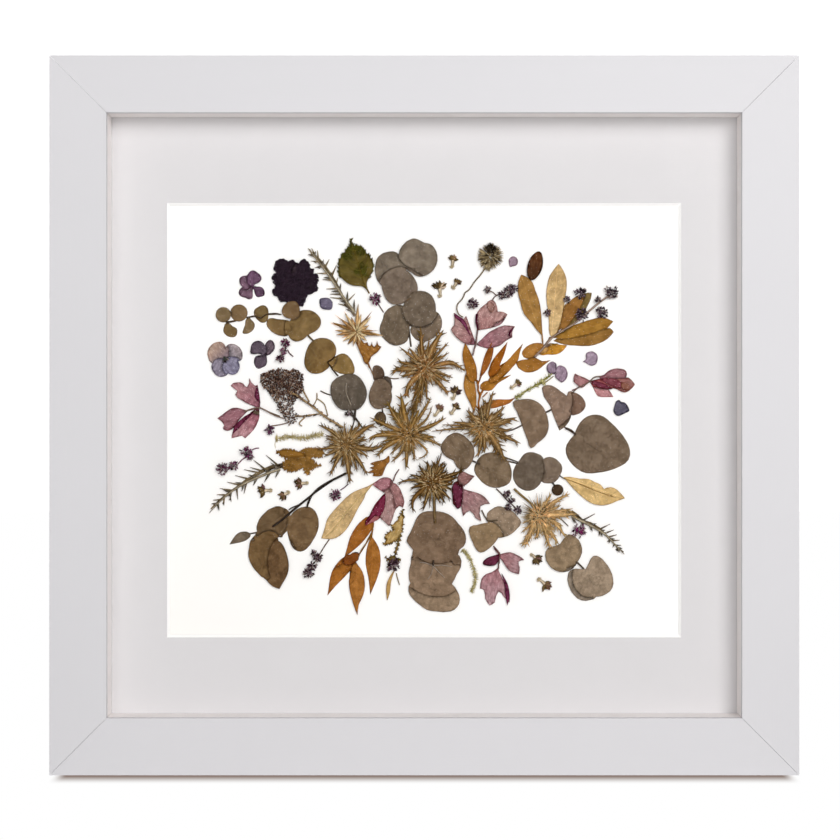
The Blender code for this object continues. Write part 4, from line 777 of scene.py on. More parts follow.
# node: look, slot, lift, curl, leaves. A leaf is its foot x, z, its tip x, z, its width, its
# tint and, where it changes along its length, the tint at its tip.
PRESSED = {
    "baby_eucalyptus_sprig": ("leaf", "olive_leaf", 1.0, 0.5, (
        (-136.8, 66.5, -136.6, 77.2, 10.6, "776449"), (-132, 71.5, -120, 73.5, 11.8, "7C6548"),
        (-106.5, 68, -114.5, 77.5, 10, "75603F"), (-137, 62.5, -127, 60, 9.5, "756041"),
        (-119.5, 70, -119.5, 58.7, 8, "806C4F"))),
    "brown_eucalyptus_sprig": ("leaf", "olive_leaf", 1.7, 0.5, (
        (-84.5, 72, -96.5, 77, 12.5, "725B40"), (-72, 73, -93, 57, 21, "78613E"),
        (-62, 37, -81, 51, 24, "7A603A", "6E5838"), (-92, 62, -107, 64, 12, "7A6240"),
        (-66, 38, -47, 37, 14.5, "846B42"))),
    "dark_round_leaf": ("leaf", "grey_leaf", 2.2, 0.5, (
        (-47, 6, -54, 32, 25, "595046", "665B4F"), (-45.5, 8, -49, -3, 3, "5E564E"))),
    "grey_eucalyptus_pair": ("leaf", "grey_leaf", 1.3, 0.5, (
        (-28.5, 7, -30.5, 28, 16.5, "705F4F"), (-33.5, 27, -29, 37.5, 8, "5F4D3F"),
        (-28.6, 5.8, -30.2, -3.8, 8.2, "5B4A37"), (-25, 30, -24, 19, 6, "64594F"))),
    "top_eucalyptus_sprig": ("leaf", "grey_leaf", 1.9, 0.6, (
        (-5, 103, -3, 124, 27, "786C5E"), (-12, 83, -25, 101, 26, "716356"),
        (-12, 104, -34, 103, 23, "74685A"))),
    "middle_eucalyptus_sprig": ("leaf", "grey_leaf", 1.3, 0.6, (
        (-10, 66, 5, 86, 24, "6A5D4F"), (-10, 62, -30, 63, 27.5, "6E6050"),
        (-9, 60, 12.5, 68, 22, "7A6A5A"), (-10, 64, -9, 49, 2, "5A4F45"))),
    "large_eucalyptus_stack": ("leaf", "grey_leaf", 1.8, 0.6, (
        (10, -97, 8, -60.5, 41, "745F4C"), (8, -95, 3, -119, 37, "856F5A"),
        (8, -109, 8, -131, 36, "8D7862"))),
    "grey_eucalyptus_sprig": ("leaf", "grey_leaf", 1.3, 0.6, (
        (11, -14, 34, -31, 23, "73614E"), (90.7, -43, 90.7, -51.5, 8, "463628"),
        (35, -31, 59, -40, 24, "74624E"), (61, -33, 81, -37, 26, "675A4D"),
        (91, -24, 83, -43, 16, "786859"))),
    "folded_eucalyptus_sprig": ("leaf", "grey_leaf", 1.3, 0.6, (
        (83, 6, 66, -2, 32, "7B6754"), (82, 15, 98, 5, 26, "867060"),
        (98, 11, 110, 12, 15, "725A4B"), (98, -6, 132, -27, 39, "726150"))),
    "heart_leaf_pair": ("leaf", "grey_leaf", 1.4, 0.6, (
        (43, -69, 41, -91, 23, "897358"), (44, -69, 66, -70, 22, "8E7B67"))),
    "corner_eucalyptus_sprig": ("leaf", "grey_leaf", 1.4, 0.6, (
        (104, -97, 91, -79, 25, "88745C"), (101, -107, 123, -106, 27, "94826E"),
        (100, -102, 112, -122, 17, "887A6B"))),
    "eucalyptus_twig": ("leaf", "olive_leaf", 1.6, 0.5, (
        (-97, -80, -95, -116, 20, "664E35"), (-103, -76, -112, -106, 22, "6E5639"),
        (-94, -66, -116, -73, 21, "65513A"), (-86, -58, -82, -90, 22, "70593F"),
        (-117, -77, -133, -82, 8.5, "6E6050"), (-53, -36, -90, -62, 5, "332C27"))),
    "serrated_leaf": ("veined", "dark_green_leaf", 1.6, 0.5, (
        (-39.5, 91, -49.5, 124, 24, "60512A", "544B20"),)),
    "golden_leaf_spray": ("veined", "golden_leaf", 1.5, 0.5, (
        (79, 57, 66, 99, 12.5, "9A7440"), (86.5, 57, 91, 106.5, 12.5, "C2A476", "B99A6A"),
        (87, 57, 108, 86, 9, "8F6534"), (92, 60, 113.5, 86.5, 9, "7B673E"),
        (87, 57, 128.5, 67.5, 9, "986F31"), (90, 54, 129, 59, 10, "8B6634"),
        (79, 44.5, 97, 51.5, 6, "B78332"), (67, 44, 81, 51, 8, "A27239"),
        (63, 37.5, 86, 39.5, 8, "976830"), (74, 42, 92, 60, 2.4, "9C8272"))),
    "upper_ruscus_sprig": ("veined", "russet_leaf", 1.9, 0.6, (
        (33.5, 26, 28, 53, 9, "95642A"), (34.5, 5, 30, 34, 8, "9C6F36"),
        (39, 29, 46.5, 54, 8, "8A5222"), (45, 30, 56.5, 53, 8, "94581E"),
        (45, 26, 67, 52.5, 9, "9A672C"), (39, 21, 59.5, 31, 7, "A26E2D"),
        (41, 9, 62, 15.5, 6, "A2652F"), (37, 2, 37, 29, 2.2, "B66F28"))),
    "lower_ruscus_sprig": ("veined", "russet_leaf", 1.4, 0.6, (
        (-44.5, -91.5, -55, -97, 7, "79441D"), (-46, -96.5, -45.3, -132.5, 10, "9D6831"),
        (-34, -67, -54.8, -95, 9, "945C27"), (-48, -96, -65.7, -119.3, 10, "945D26"),
        (-35, -80, -36.3, -118.5, 9, "98632C"), (-34.5, -71, -45, -93, 1.6, "8E6634"))),
    "tan_leaf_left": ("veined", "tan_leaf", 1.2, 0.6, ((-34, -42, -69, -80.5, 17, "C0A376"),)),
    "tan_leaf_right": ("veined", "tan_leaf", 1.2, 0.6, ((94, -38.5, 136, -53, 15, "C8A974"),)),
    "almond_petal": ("petal", "dark_petal", 2.0, 0.4, ((73, 95, 78, 115, 10.5, "442918", "59341C"),)),
    "toothed_leaves": ("leaf", "golden_leaf", 1.5, 0.5, (
        (-100, -21.5, -82, -23, 5.5, "90682F"), (-96, -29, -71, -30, 10, "AF803E"),
        (-83, -22, -68, -22.3, 5.5, "AD7935"))),
    "olive_leaflet": ("petal", "golden_leaf", 1.4, 0.5, (
        (-14.5, -60, -26, -84, 12, "A98C57"), (-21, -93, -21, -99, 12, "583233"))),
    "upper_needle_sprig": ("bract", "needle_leaf", 1.6, 0.4, (
        (-76.5, 113.5, -47, 71, 3.4, "A8957A", "756757"), (-79, 117, -50, 78, 40, "786A51"))),
    "left_needle_sprig": ("bract", "needle_leaf", 1.6, 0.4, (
        (-145, -60, -96, -30, 3.4, "7B684A", "4F4131"), (-143, -50, -97, -40, 60, "6A5C45"))),
    "right_needle_sprig": ("bract", "needle_leaf", 1.6, 0.4, (
        (93, -60, 135.5, -90, 3.4, "6A5C44", "5A4E3C"), (100, -64, 135, -88, 40, "5C4B32"))),
    "straw_star": ("petal", "straw", 2.0, 0.4, (
        (-45, 54, -34, 46, 16, "8E612D"), (-46, 60, -46.5, 76, 14, "AD8D64", "8E775B"),
        (-46, 60, -63, 68, 20, "F8C580"), (-46, 60, -32, 72, 14, "AE8656"),
        (-46, 60, -30, 59, 10, "A67E4E"), (-46, 60, -52, 50, 12, "A2774A"))),
    "dusty_hydrangea_floret": ("petal", "mauve_petal", 1.3, 0.4, (
        (-117.5, 91, -114.5, 102, 9, "6B4D64"), (-117.5, 91, -125.5, 96, 9, "755869"),
        (-117.5, 91, -123, 83.5, 9, "6E5362"), (-117.5, 91, -109, 86.5, 8, "5A4055"))),
    "dark_scalloped_flower": ("petal", "dark_petal", 1.4, 0.5, (
        (-88, 94, -76, 103, 19, "261C21"), (-88, 94, -98, 108, 17, "30272B"),
        (-88, 94, -84, 78, 17, "261822"), (-88, 94, -102, 87, 17, "2C2026"),
        (-88, 94, -73, 91, 15, "241A24"))),
    "large_hydrangea_floret": ("petal", "mauve_petal", 1.5, 0.5, (
        (-135, 41, -127, 33, 13, "807B8F"), (-135, 41, -140.5, 31.5, 13, "857D8B"),
        (-135, 41, -144, 50.5, 14, "816E74", "AC9282"), (-135, 41, -126.5, 50, 13, "847C84", "988B8D"))),
    "dark_hydrangea_floret": ("petal", "mauve_petal", 1.4, 0.5, (
        (-108, 45, -117, 52, 10, "594D57"), (-108, 45, -103, 54, 8.5, "64545D"),
        (-108, 45, -113.5, 36, 9, "594B56"))),
    "top_pink_flower": ("petal", "mauve_petal", 2.3, 0.6, (
        (36, 61, 35, 45, 2.4, "907571"), (36, 60, 20, 66, 19, "946667", "A3817C"),
        (36.5, 61, 46, 82, 17, "9E7370", "A98680"), (35, 51.5, 60, 62, 14, "8D5C64", "9C7678"))),
    "right_pink_flower": ("petal", "mauve_petal", 1.6, 0.5, (
        (112.5, 26.5, 103, 31, 9, "9E6C6C", "9C7171"), (113, 25, 143, 24, 7, "994A4D", "976861"),
        (115, 28, 136, 32, 7, "905F67", "9C6E72"), (113, 26, 127, 17, 9, "BB8788"))),
    "left_pink_flower": ("petal", "mauve_petal", 1.6, 0.5, (
        (-121, 6.5, -98, 2.5, 2, "8E7D6B"), (-112, 8, -125, 24, 15, "905D68", "A07578"),
        (-120, 6, -139, 0, 11, "8F6269"), (-112.5, 9, -127, -12, 11, "955562", "AE8387"))),
    "lower_pink_flower": ("petal", "mauve_petal", 2.0, 0.5, (
        (-25, -47, -23.5, -71, 8, "A2817D"), (-23, -44, -34, -42, 9, "A26F75"),
        (-22, -43, -15, -60, 8, "9B6F6D"), (-26, -49, -40, -71.5, 7, "852B3C", "A16464"))),
    "centre_pink_flower": ("petal", "mauve_petal", 1.8, 0.5, (
        (22.5, -43, 22.5, -60, 7, "582121"), (26, -47, 42, -60, 19, "946B6E", "967773"),
        (24, -41, 34, -38, 8, "8B645F"))),
    "base_pink_flower": ("petal", "mauve_petal", 1.6, 0.5, (
        (51, -91, 66, -98, 13, "9A6A6E", "9D7B7D"), (51, -93, 40, -97, 7, "743B47"),
        (50.3, -101, 47, -126, 17, "9E7074", "A68589"), (50.5, -96, 50, -103, 2, "7E5D55"))),
}

# node: pitch, length, widths, tint, lift, lean and the lowest tooth of a toothed rim.
FRINGES = {
    "serrated_leaf": (2.3, 1.7, (1.8, 0.9, 0.15), "4A4818", 1.6, (0, 0.8), 97),
    "dark_scalloped_flower": (3.5, 1.2, (2.6, 2.7, 1.2), "281C26", 1.4),
    "toothed_leaves": (2.6, 1.5, (1.8, 1.0, 0.2), "8A6634", 1.3, (-0.2, 0)),
    "olive_leaflet": (3.0, 1.3, (1.6, 0.9, 0.2), "86703C", 1.3),
}

MAKERS = {"leaf": leaf_look, "veined": veined_leaf_look, "petal": petal_look, "bract": bract_look}


class PRESSED_OT_plants(bpy.types.Operator):
    """Build the pressed leaves and petals from their flat outlines"""

    bl_idname = "pressed.plants"
    bl_label = "Leaves and petals"

    def execute(self, context):
        curl = context.scene.plant_settings.curl / MM
        for seed, (node, (kind, slot, lift, bend, leaves)) in enumerate(PRESSED.items()):
            sheet = Sheet()
            sheet.from_node(node, leaves, lift, bend * curl, seed * 11.3)
            if node in FRINGES:
                fringe(sheet, node, *FRINGES[node])
            finish_piece(f"pressed_{node}", sheet.bm, look_of(MAKERS[kind]), slot, [node])
        return {"FINISHED"}


# ---------------------------------------------------------------- sea hollies

# node: middle, cone size, cone tint, bract tints and bracts. A bract is its tip x, z, the width
# of its foot and, where it bends, the points on its way.
HOLLIES = {
    "upper_sea_holly": ((0.5, 35.5), (8, 9), "B28352", ("AF8353", "796238"), (
        (-10.5, 49.5, 4), (-17, 50, 3), (-2.5, 64, 5, -1.5, 48), (3.5, 56, 3), (5.5, 53, 3), (8, 56, 3),
        (13.2, 61.4, 6, 6, 50), (16.5, 53, 3), (17, 46, 3), (18, 41, 2), (28, 33, 4, 16, 39, 22, 37.5),
        (21, 35.5, 2), (17.5, 25.3, 4), (16.7, 18.5, 4, 12, 23), (6, 22.5, 2), (-18.5, 40, 5),
        (-21, 35, 5), (-23, 33.5, 5), (-16, 29, 4), (-12, 22, 4), (-13, 15, 5, -10, 24), (-9, 10, 3),
        (-3, 9, 3), (2, 12, 3), (-6, 16, 3))),
    "middle_sea_holly": ((-11, -9.5), (8, 8), "B58A50", ("AA824D", "816A3A"), (
        (-37, 2, 4, -24, -4), (-25.5, 13, 5, -20, 3), (-21.5, 9, 3), (-16, 18.5, 6), (-17.5, 7, 3),
        (-7, 8, 3), (-3, 8, 4), (4.5, 15.8, 3, 0, 7), (5.7, 10, 2, 1, 0), (15, 1.8, 4, 4, -4),
        (8, -11.5, 4), (11.5, -18, 3, 5, -14), (-5, -27, 2, 2, -21), (-11.5, -32, 3), (-12.5, -34, 4),
        (-22.5, -28.5, 3, -16, -22), (-32.5, -25, 4, -26, -18), (-30, -15, 3),
        (-38, -12.5, 4, -30, -10), (-31, -7, 3))),
    "left_sea_holly": ((-53.5, -16.5), (7, 7), "AE8957", ("A38052", "6E5839"), (
        (-72, -3, 4, -62, -8), (-67.5, -9.5, 2), (-67, -12, 3), (-57, -4, 2), (-54.3, -1, 2),
        (-48.5, -3, 3), (-46, -3.5, 3), (-33, -2, 5, -42, -7), (-39.5, -11.5, 4),
        (-28, -17.5, 5, -38, -19.5), (-37.5, -24.7, 4), (-38.3, -37.5, 4, -44, -28), (-48.5, -32, 3),
        (-50.2, -43.5, 5), (-55.5, -32, 2), (-64.3, -38, 4, -59, -27), (-60.5, -29, 3),
        (-64.5, -29, 3), (-68, -24.8, 4), (-72.5, -20, 4))),
    "right_sea_holly": ((40.5, -4.5), (8, 8), "D1A267", ("A37F52", "7D6541"), (
        (19, -1, 4), (28.5, 7, 5), (28.5, 3.5, 3), (30, 7, 3), (41.5, 14, 7), (47, 20, 4, 44, 10),
        (46.5, 6, 3), (55, 9.5, 5), (54, 4, 4), (63, 2, 5), (59.5, -0.5, 5), (58, -7.5, 6),
        (57, -12, 4), (65.5, -15.8, 5), (55, -28.5, 6, 49, -16), (41, -22.5, 5), (36.5, -25.5, 5),
        (33, -16, 4), (29, -11, 2), (26, -10, 2), (5, -7.5, 3, 30, -5, 18, -6))),
    "lower_sea_holly": ((5, -42), (9, 8), "976D3E", ("846237", "554123"), (
        (-18.5, -42.8, 3, -9, -40.5), (-10, -36.5, 4), (-4, -30.5, 4), (2, -27.5, 5), (7, -28, 5),
        (12.5, -21, 2), (10, -23.5, 2), (13.5, -28, 4), (15.5, -29.5, 4), (16, -34, 4), (27.5, -34, 5),
        (23, -39, 5), (20, -43.5, 5), (19, -47, 4), (18.5, -54, 4), (14.5, -56.5, 4), (11, -57, 3),
        (3.5, -60, 2), (-1, -62, 4), (-7.5, -63, 4, -7, -53), (-9.5, -46, 4), (-4, -53, 4))),
    "tan_sea_holly": ((78, -64.5), (7, 7), "EDC089", ("EEC28B", "AE9467"), (
        (86.5, -49.5, 4), (74, -54, 2), (77.5, -56, 3), (99, -49.8, 4, 89, -55), (93, -57.8, 4),
        (101, -60, 4), (104, -63.5, 6), (98.5, -65.5, 3), (94.5, -72, 5), (97, -81, 4, 89, -70),
        (91.5, -84.5, 5), (85.5, -88, 5, 82, -75), (77, -80.5, 4), (68, -87, 5, 73, -74),
        (66, -86, 4), (70, -84, 3), (66.5, -70.3, 2), (70, -62, 2))),
}


def bract(sheet, path, width, lift, tints, draws):
    """A toothed bract with a pale midrib."""
    sheet.blade(path, (width * 0.45, width * 0.86, width * 0.7, width * 0.4, 0.2), tints[0], lift,
                draws.uniform(-2, 1.5), 0.5, tints[1])
    pale = path[len(path) // 3:-1]
    raised = lift + 0.3 + width * 0.2
    sheet.blade(pale, (width * 0.12, width * 0.16, 0.1), "C0A474", raised, 0.0, 0.4, tints[0])
    teeth = max(2, int(math.dist(path[0], path[-1]) / TOOTH_PITCH))
    for tooth in range(teeth):
        part = 0.3 + 0.65 * tooth / teeth
        foot = path[int(part * (len(path) - 1))]
        onward = path[min(int(part * (len(path) - 1)) + 1, len(path) - 1)]
        heading = turn_to(foot, onward)
        turn = heading + draws.choice((-1, 1)) * draws.uniform(0.5, 0.9)
        length = width * draws.uniform(0.7, 1.2) * (1.2 - 0.6 * part) + 1.0
        end = away(foot, length, turn)
        sheet.blade([foot, end], (width * 0.3, 0.12), draws.choice(tints), lift, 0.2, 0.5, tints[1])


def sea_holly(sheet, middle, cone, cone_tint, tints, bracts, draws):
    """A spiny ruff of toothed bracts round a bristly cone."""
    x, z = middle
    for tip_x, tip_z, width, *way in bracts:
        path = [(x, z)] + list(zip(way[::2], way[1::2])) + [(tip_x, tip_z)]
        bract(sheet, smooth_path(path, 5), width, draws.uniform(3.2, 5.0), tints, draws)
        part = draws.uniform(0.55, 0.8)
        turn = draws.uniform(-0.3, 0.3)
        run = Vector((tip_x - x, tip_z - z)) * part
        run.rotate(Matrix.Rotation(turn, 2))
        way = [(x, z), (x + run.x * 0.6 - run.y * 0.06, z + run.y * 0.6), (x + run.x, z + run.y)]
        bract(sheet, smooth_path(way, 4), width * 0.7, draws.uniform(2.4, 3.4), tints, draws)
    for _ in range(SPIKES):
        angle = draws.uniform(0, 2 * math.pi)
        near = draws.uniform(1.0, 5.5)
        far = near + draws.uniform(3.5, 10.5)
        # The darkest shade, 5A4A30, is partly the bracts' own dark colour and partly painted shadow in the
        # gaps between bracts.
        shade = draws.choice(("DCC49C", "C4A878", "B4966A", "A0845A", tints[0], "86714C", "5A4A30"))
        ends = [away(middle, reach, angle) for reach in (near, far)]
        sheet.blade(ends, (draws.uniform(0.4, 0.75), 0.1), shade, 5.0, draws.uniform(-1.2, 0.6), 0.5)
    for _ in range(CONE_BRISTLES):
        angle = draws.uniform(0, 2 * math.pi)
        spread = math.sqrt(draws.random())
        foot = (x + cone[0] * 0.8 * spread * math.cos(angle), z + cone[1] * 0.8 * spread * math.sin(angle))
        length = draws.uniform(1.2, 2.6) * (0.45 + spread)
        turn = angle + draws.uniform(-0.5, 0.5)
        end = away(foot, length, turn)
        # The dark 5A4A30 here is partly the cone's own colour and partly painted shadow between its
        # bristles.
        shade = draws.choice((cone_tint, cone_tint, tints[0], "D2B688", "5A4A30", "E2CCA2"))
        sheet.blade([foot, end], (draws.uniform(0.5, 0.9), 0.15), shade, 5.2 + 2.2 * (1 - spread), 0.5, 0.6)


class PRESSED_OT_hollies(bpy.types.Operator):
    """Build the six sea holly heads"""

    bl_idname = "pressed.hollies"
    bl_label = "Sea hollies"

    def execute(self, context):
        for seed, (node, (middle, cone, cone_tint, tints, bracts)) in enumerate(HOLLIES.items()):
            sheet = Sheet()
            sea_holly(sheet, middle, cone, cone_tint, tints, bracts, random.Random(seed + 5))
            slot = "straw" if node == "tan_sea_holly" else "holly_bract"
            finish_piece(f"head_{node}", sheet.bm, look_of(bract_look), slot, [node])
        return {"FINISHED"}


# ---------------------------------------------------------------- small pieces

# Trumpet florets: the middle of the mouth x, z, the far end of the tube x, z, the mouth's
# width and its tints.
FLORETS = (
    (19.5, 108.8, 18.3, 102, 5.5, "9A7A5C", "C8B8A0"), (22, 93.5, 18.3, 88.5, 5, "4A3230", "B8A890"),
    (10.5, 89.5, 10.8, 82, 8, "C4B09A", "D2C4AC"), (21, 18.5, 19, 12.5, 7, "4A3834", "C8B8A0"),
    (10, 7.2, 6, 1.5, 5.5, "7A5A50", "D0C0A8"), (21, 8.5, 17, 3, 5, "8A6A60", "C8B8A0"),
    (63, 24.8, 57.5, 21, 4.5, "7C5C5C", "C8B8A0"), (-108.5, -47.8, -102, -47.5, 7, "6A4C4A", "CDBDA4"),
    (-95, -50.5, -90.5, -48, 6, "8A6C5C", "CDBDA4"), (-83.5, -43, -77.5, -42.5, 7, "7A5A54", "CDBDA4"),
    (75.5, -93.5, 71.5, -90, 7, "7A5850", "C8B8A0"), (82, -111.3, 76, -106.5, 7, "6E5048", "CDBDA4"),
)

# Petals and leaflets on their own: look, lift, outline, leaf.
PETALS = (
    ("petal", 1.2, ((-71, 82.3), (-68.5, 83.2), (-65, 83), (-62.7, 81), (-62.2, 79), (-63.2, 75.5),
     (-67.5, 75.3), (-70, 76.5), (-71, 79)), (-71, 79, -62.5, 79.5, 8, "6C6478")),
    ("petal", 1.0, ((57.5, 108.5), (58.5, 110.5), (60.5, 111.5), (62.8, 110.5), (63.8, 108),
     (62.8, 105.5), (60.5, 104.8), (58.3, 104.5)), (58, 105, 62, 111, 6, "9A8290")),
    ("petal", 1.2, ((108, 40), (110, 41.5), (110, 45), (112, 46.5), (114.5, 46.8), (117.3, 45),
     (118, 42), (117, 38.5), (114.5, 37.2), (112, 37.7), (109.5, 39.3)), (109, 39, 117, 44, 8, "9E8A9A")),
    ("petal", 1.2, ((128.7, 7), (129.5, 10), (130.5, 12.8), (132.5, 13.8), (134, 12.5), (136.5, 12),
     (138.5, 9.5), (139.5, 6.5), (137, 5), (133.5, 3.3), (131.5, 3), (129.5, 4.5)),
     (129, 5, 138, 10, 9, "54505F")),
    ("petal", 1.3, ((84, 38), (87, 39.9), (89.7, 38.5), (90, 35.5), (89.5, 32), (86.5, 31.3), (84, 33),
     (83.3, 35.5)), (88, 32, 86.5, 40, 6.5, "8C7888")),
    ("petal", 1.5, ((90, 35.5), (92, 37.2), (95, 36.5), (97, 34), (97.5, 31), (96.5, 28), (93.8, 25.8),
     (91, 27.5), (89, 30)), (91, 28, 96, 36, 8, "947E8E")),
    ("leaf", 1.2, ((-24, -24), (-27, -26.5), (-33, -28), (-36.5, -29.5), (-34, -31), (-37, -32.3),
     (-35, -33.5), (-38.3, -35.5), (-34.5, -36), (-34.8, -38), (-29, -37.8), (-27.5, -35),
     (-25.5, -30.5), (-23.5, -28)), (-24, -25, -36, -36, 10, "8C5F2E")),
    ("petal", 1.9, ((75, 46, 0), (82, 49.5), (85, 48), (80, 45)), (75, 46, 85, 49, 4, "C09458")),
    ("leaf", 1.3, ((-19, -101), (-20.5, -103.5), (-22.5, -110), (-23.3, -117), (-25.2, -122.7, 0),
     (-25.8, -116), (-25, -110), (-22, -104)), (-19, -101, -25, -122.7, 3.2, "B08E58")),
    # dark folds and pale patches on the pink flowers
    ("petal", 2.3, ((122, 28.8), (130, 28), (136, 24), (133, 21.5), (127, 23.5), (121, 27)),
     (121, 27, 135, 23, 4, "84444E")),
    ("petal", 2.2, ((113.5, 26), (118, 26.3), (124, 24), (128, 21.5), (124, 21.3), (118, 22.8)),
     (113, 26, 128, 21.5, 3.5, "7C3A4A")),
    ("petal", 2.4, ((134, 25.5), (137, 25.5), (139.5, 23.5), (139, 20.5), (136, 20.5), (134, 22.5)),
     (134, 25, 139, 21, 4, "8A5A4A")),
    ("petal", 2.2, ((-113.7, 24, 0), (-112.3, 19), (-111.3, 11.5, 0), (-113.5, 13.5), (-115.2, 17)),
     (-112, 12, -114, 24, 3, "642840")),
    ("petal", 2.2, ((-115, 6.5, 0), (-120, 3.8), (-124, 1), (-129, -4), (-130, -9, 0), (-127, -6.5),
     (-122, -1), (-118, 3)), (-115, 6.5, -130, -8, 3, "6A2A42")),
    ("petal", 2.6, ((-26.3, -49.5, 0), (-26.3, -56), (-27.5, -61), (-30, -65), (-33.5, -65),
     (-36.5, -68), (-39.8, -71.5, 0), (-40, -68.5), (-37.5, -65), (-34, -59), (-30.5, -54.5)),
     (-26, -50, -38, -70, 6, "74283E")),
    ("petal", 2.4, ((20, -43), (22.5, -43.5), (25, -45), (26.3, -48), (25.8, -53), (25, -58.3, 0),
     (22.5, -60), (21, -57), (19.5, -52), (18.8, -48)), (23, -43, 22.5, -60, 6, "62263A")),
    ("petal", 2.2, ((51.3, -91), (47, -92), (43, -93.5), (40.5, -96), (40.3, -98, 0), (44, -99),
     (48, -98.5), (50, -96.5), (51.5, -93.5)), (51, -92, 40, -98, 6, "5E2438")),
    ("petal", 2.9, ((35, 72, 0), (34.8, 66.5), (36, 62.5), (36.8, 62.5), (36, 67), (36.4, 72)),
     (36, 62, 35.5, 72, 1.6, "6E2E4A")),
    ("petal", 2.9, ((43, 80.5), (46, 80), (48, 76.5), (46, 73), (43, 76)), (44, 74, 46, 80, 4, "A0786E")),
    ("petal", 2.8, ((61, 63.4, 0), (59.8, 61), (58.6, 58.5), (59.3, 56, 0), (57.2, 58), (58.6, 61.4)),
     (59, 57, 60.5, 63, 1.6, "6A2C46")),
    ("petal", 2.8, ((20.5, 73, 0), (23, 71), (27, 68), (29.5, 63), (31.5, 57), (29, 61), (25, 66.5),
     (21, 70)), (31, 57, 21, 72, 2.2, "7E3A58")),
    ("petal", 2.1, ((56.5, -126, 0), (58, -119), (56.5, -111), (52.5, -104), (54.5, -111), (55, -118)),
     (52.5, -104, 56.5, -126, 2.4, "6A2A46")),
)

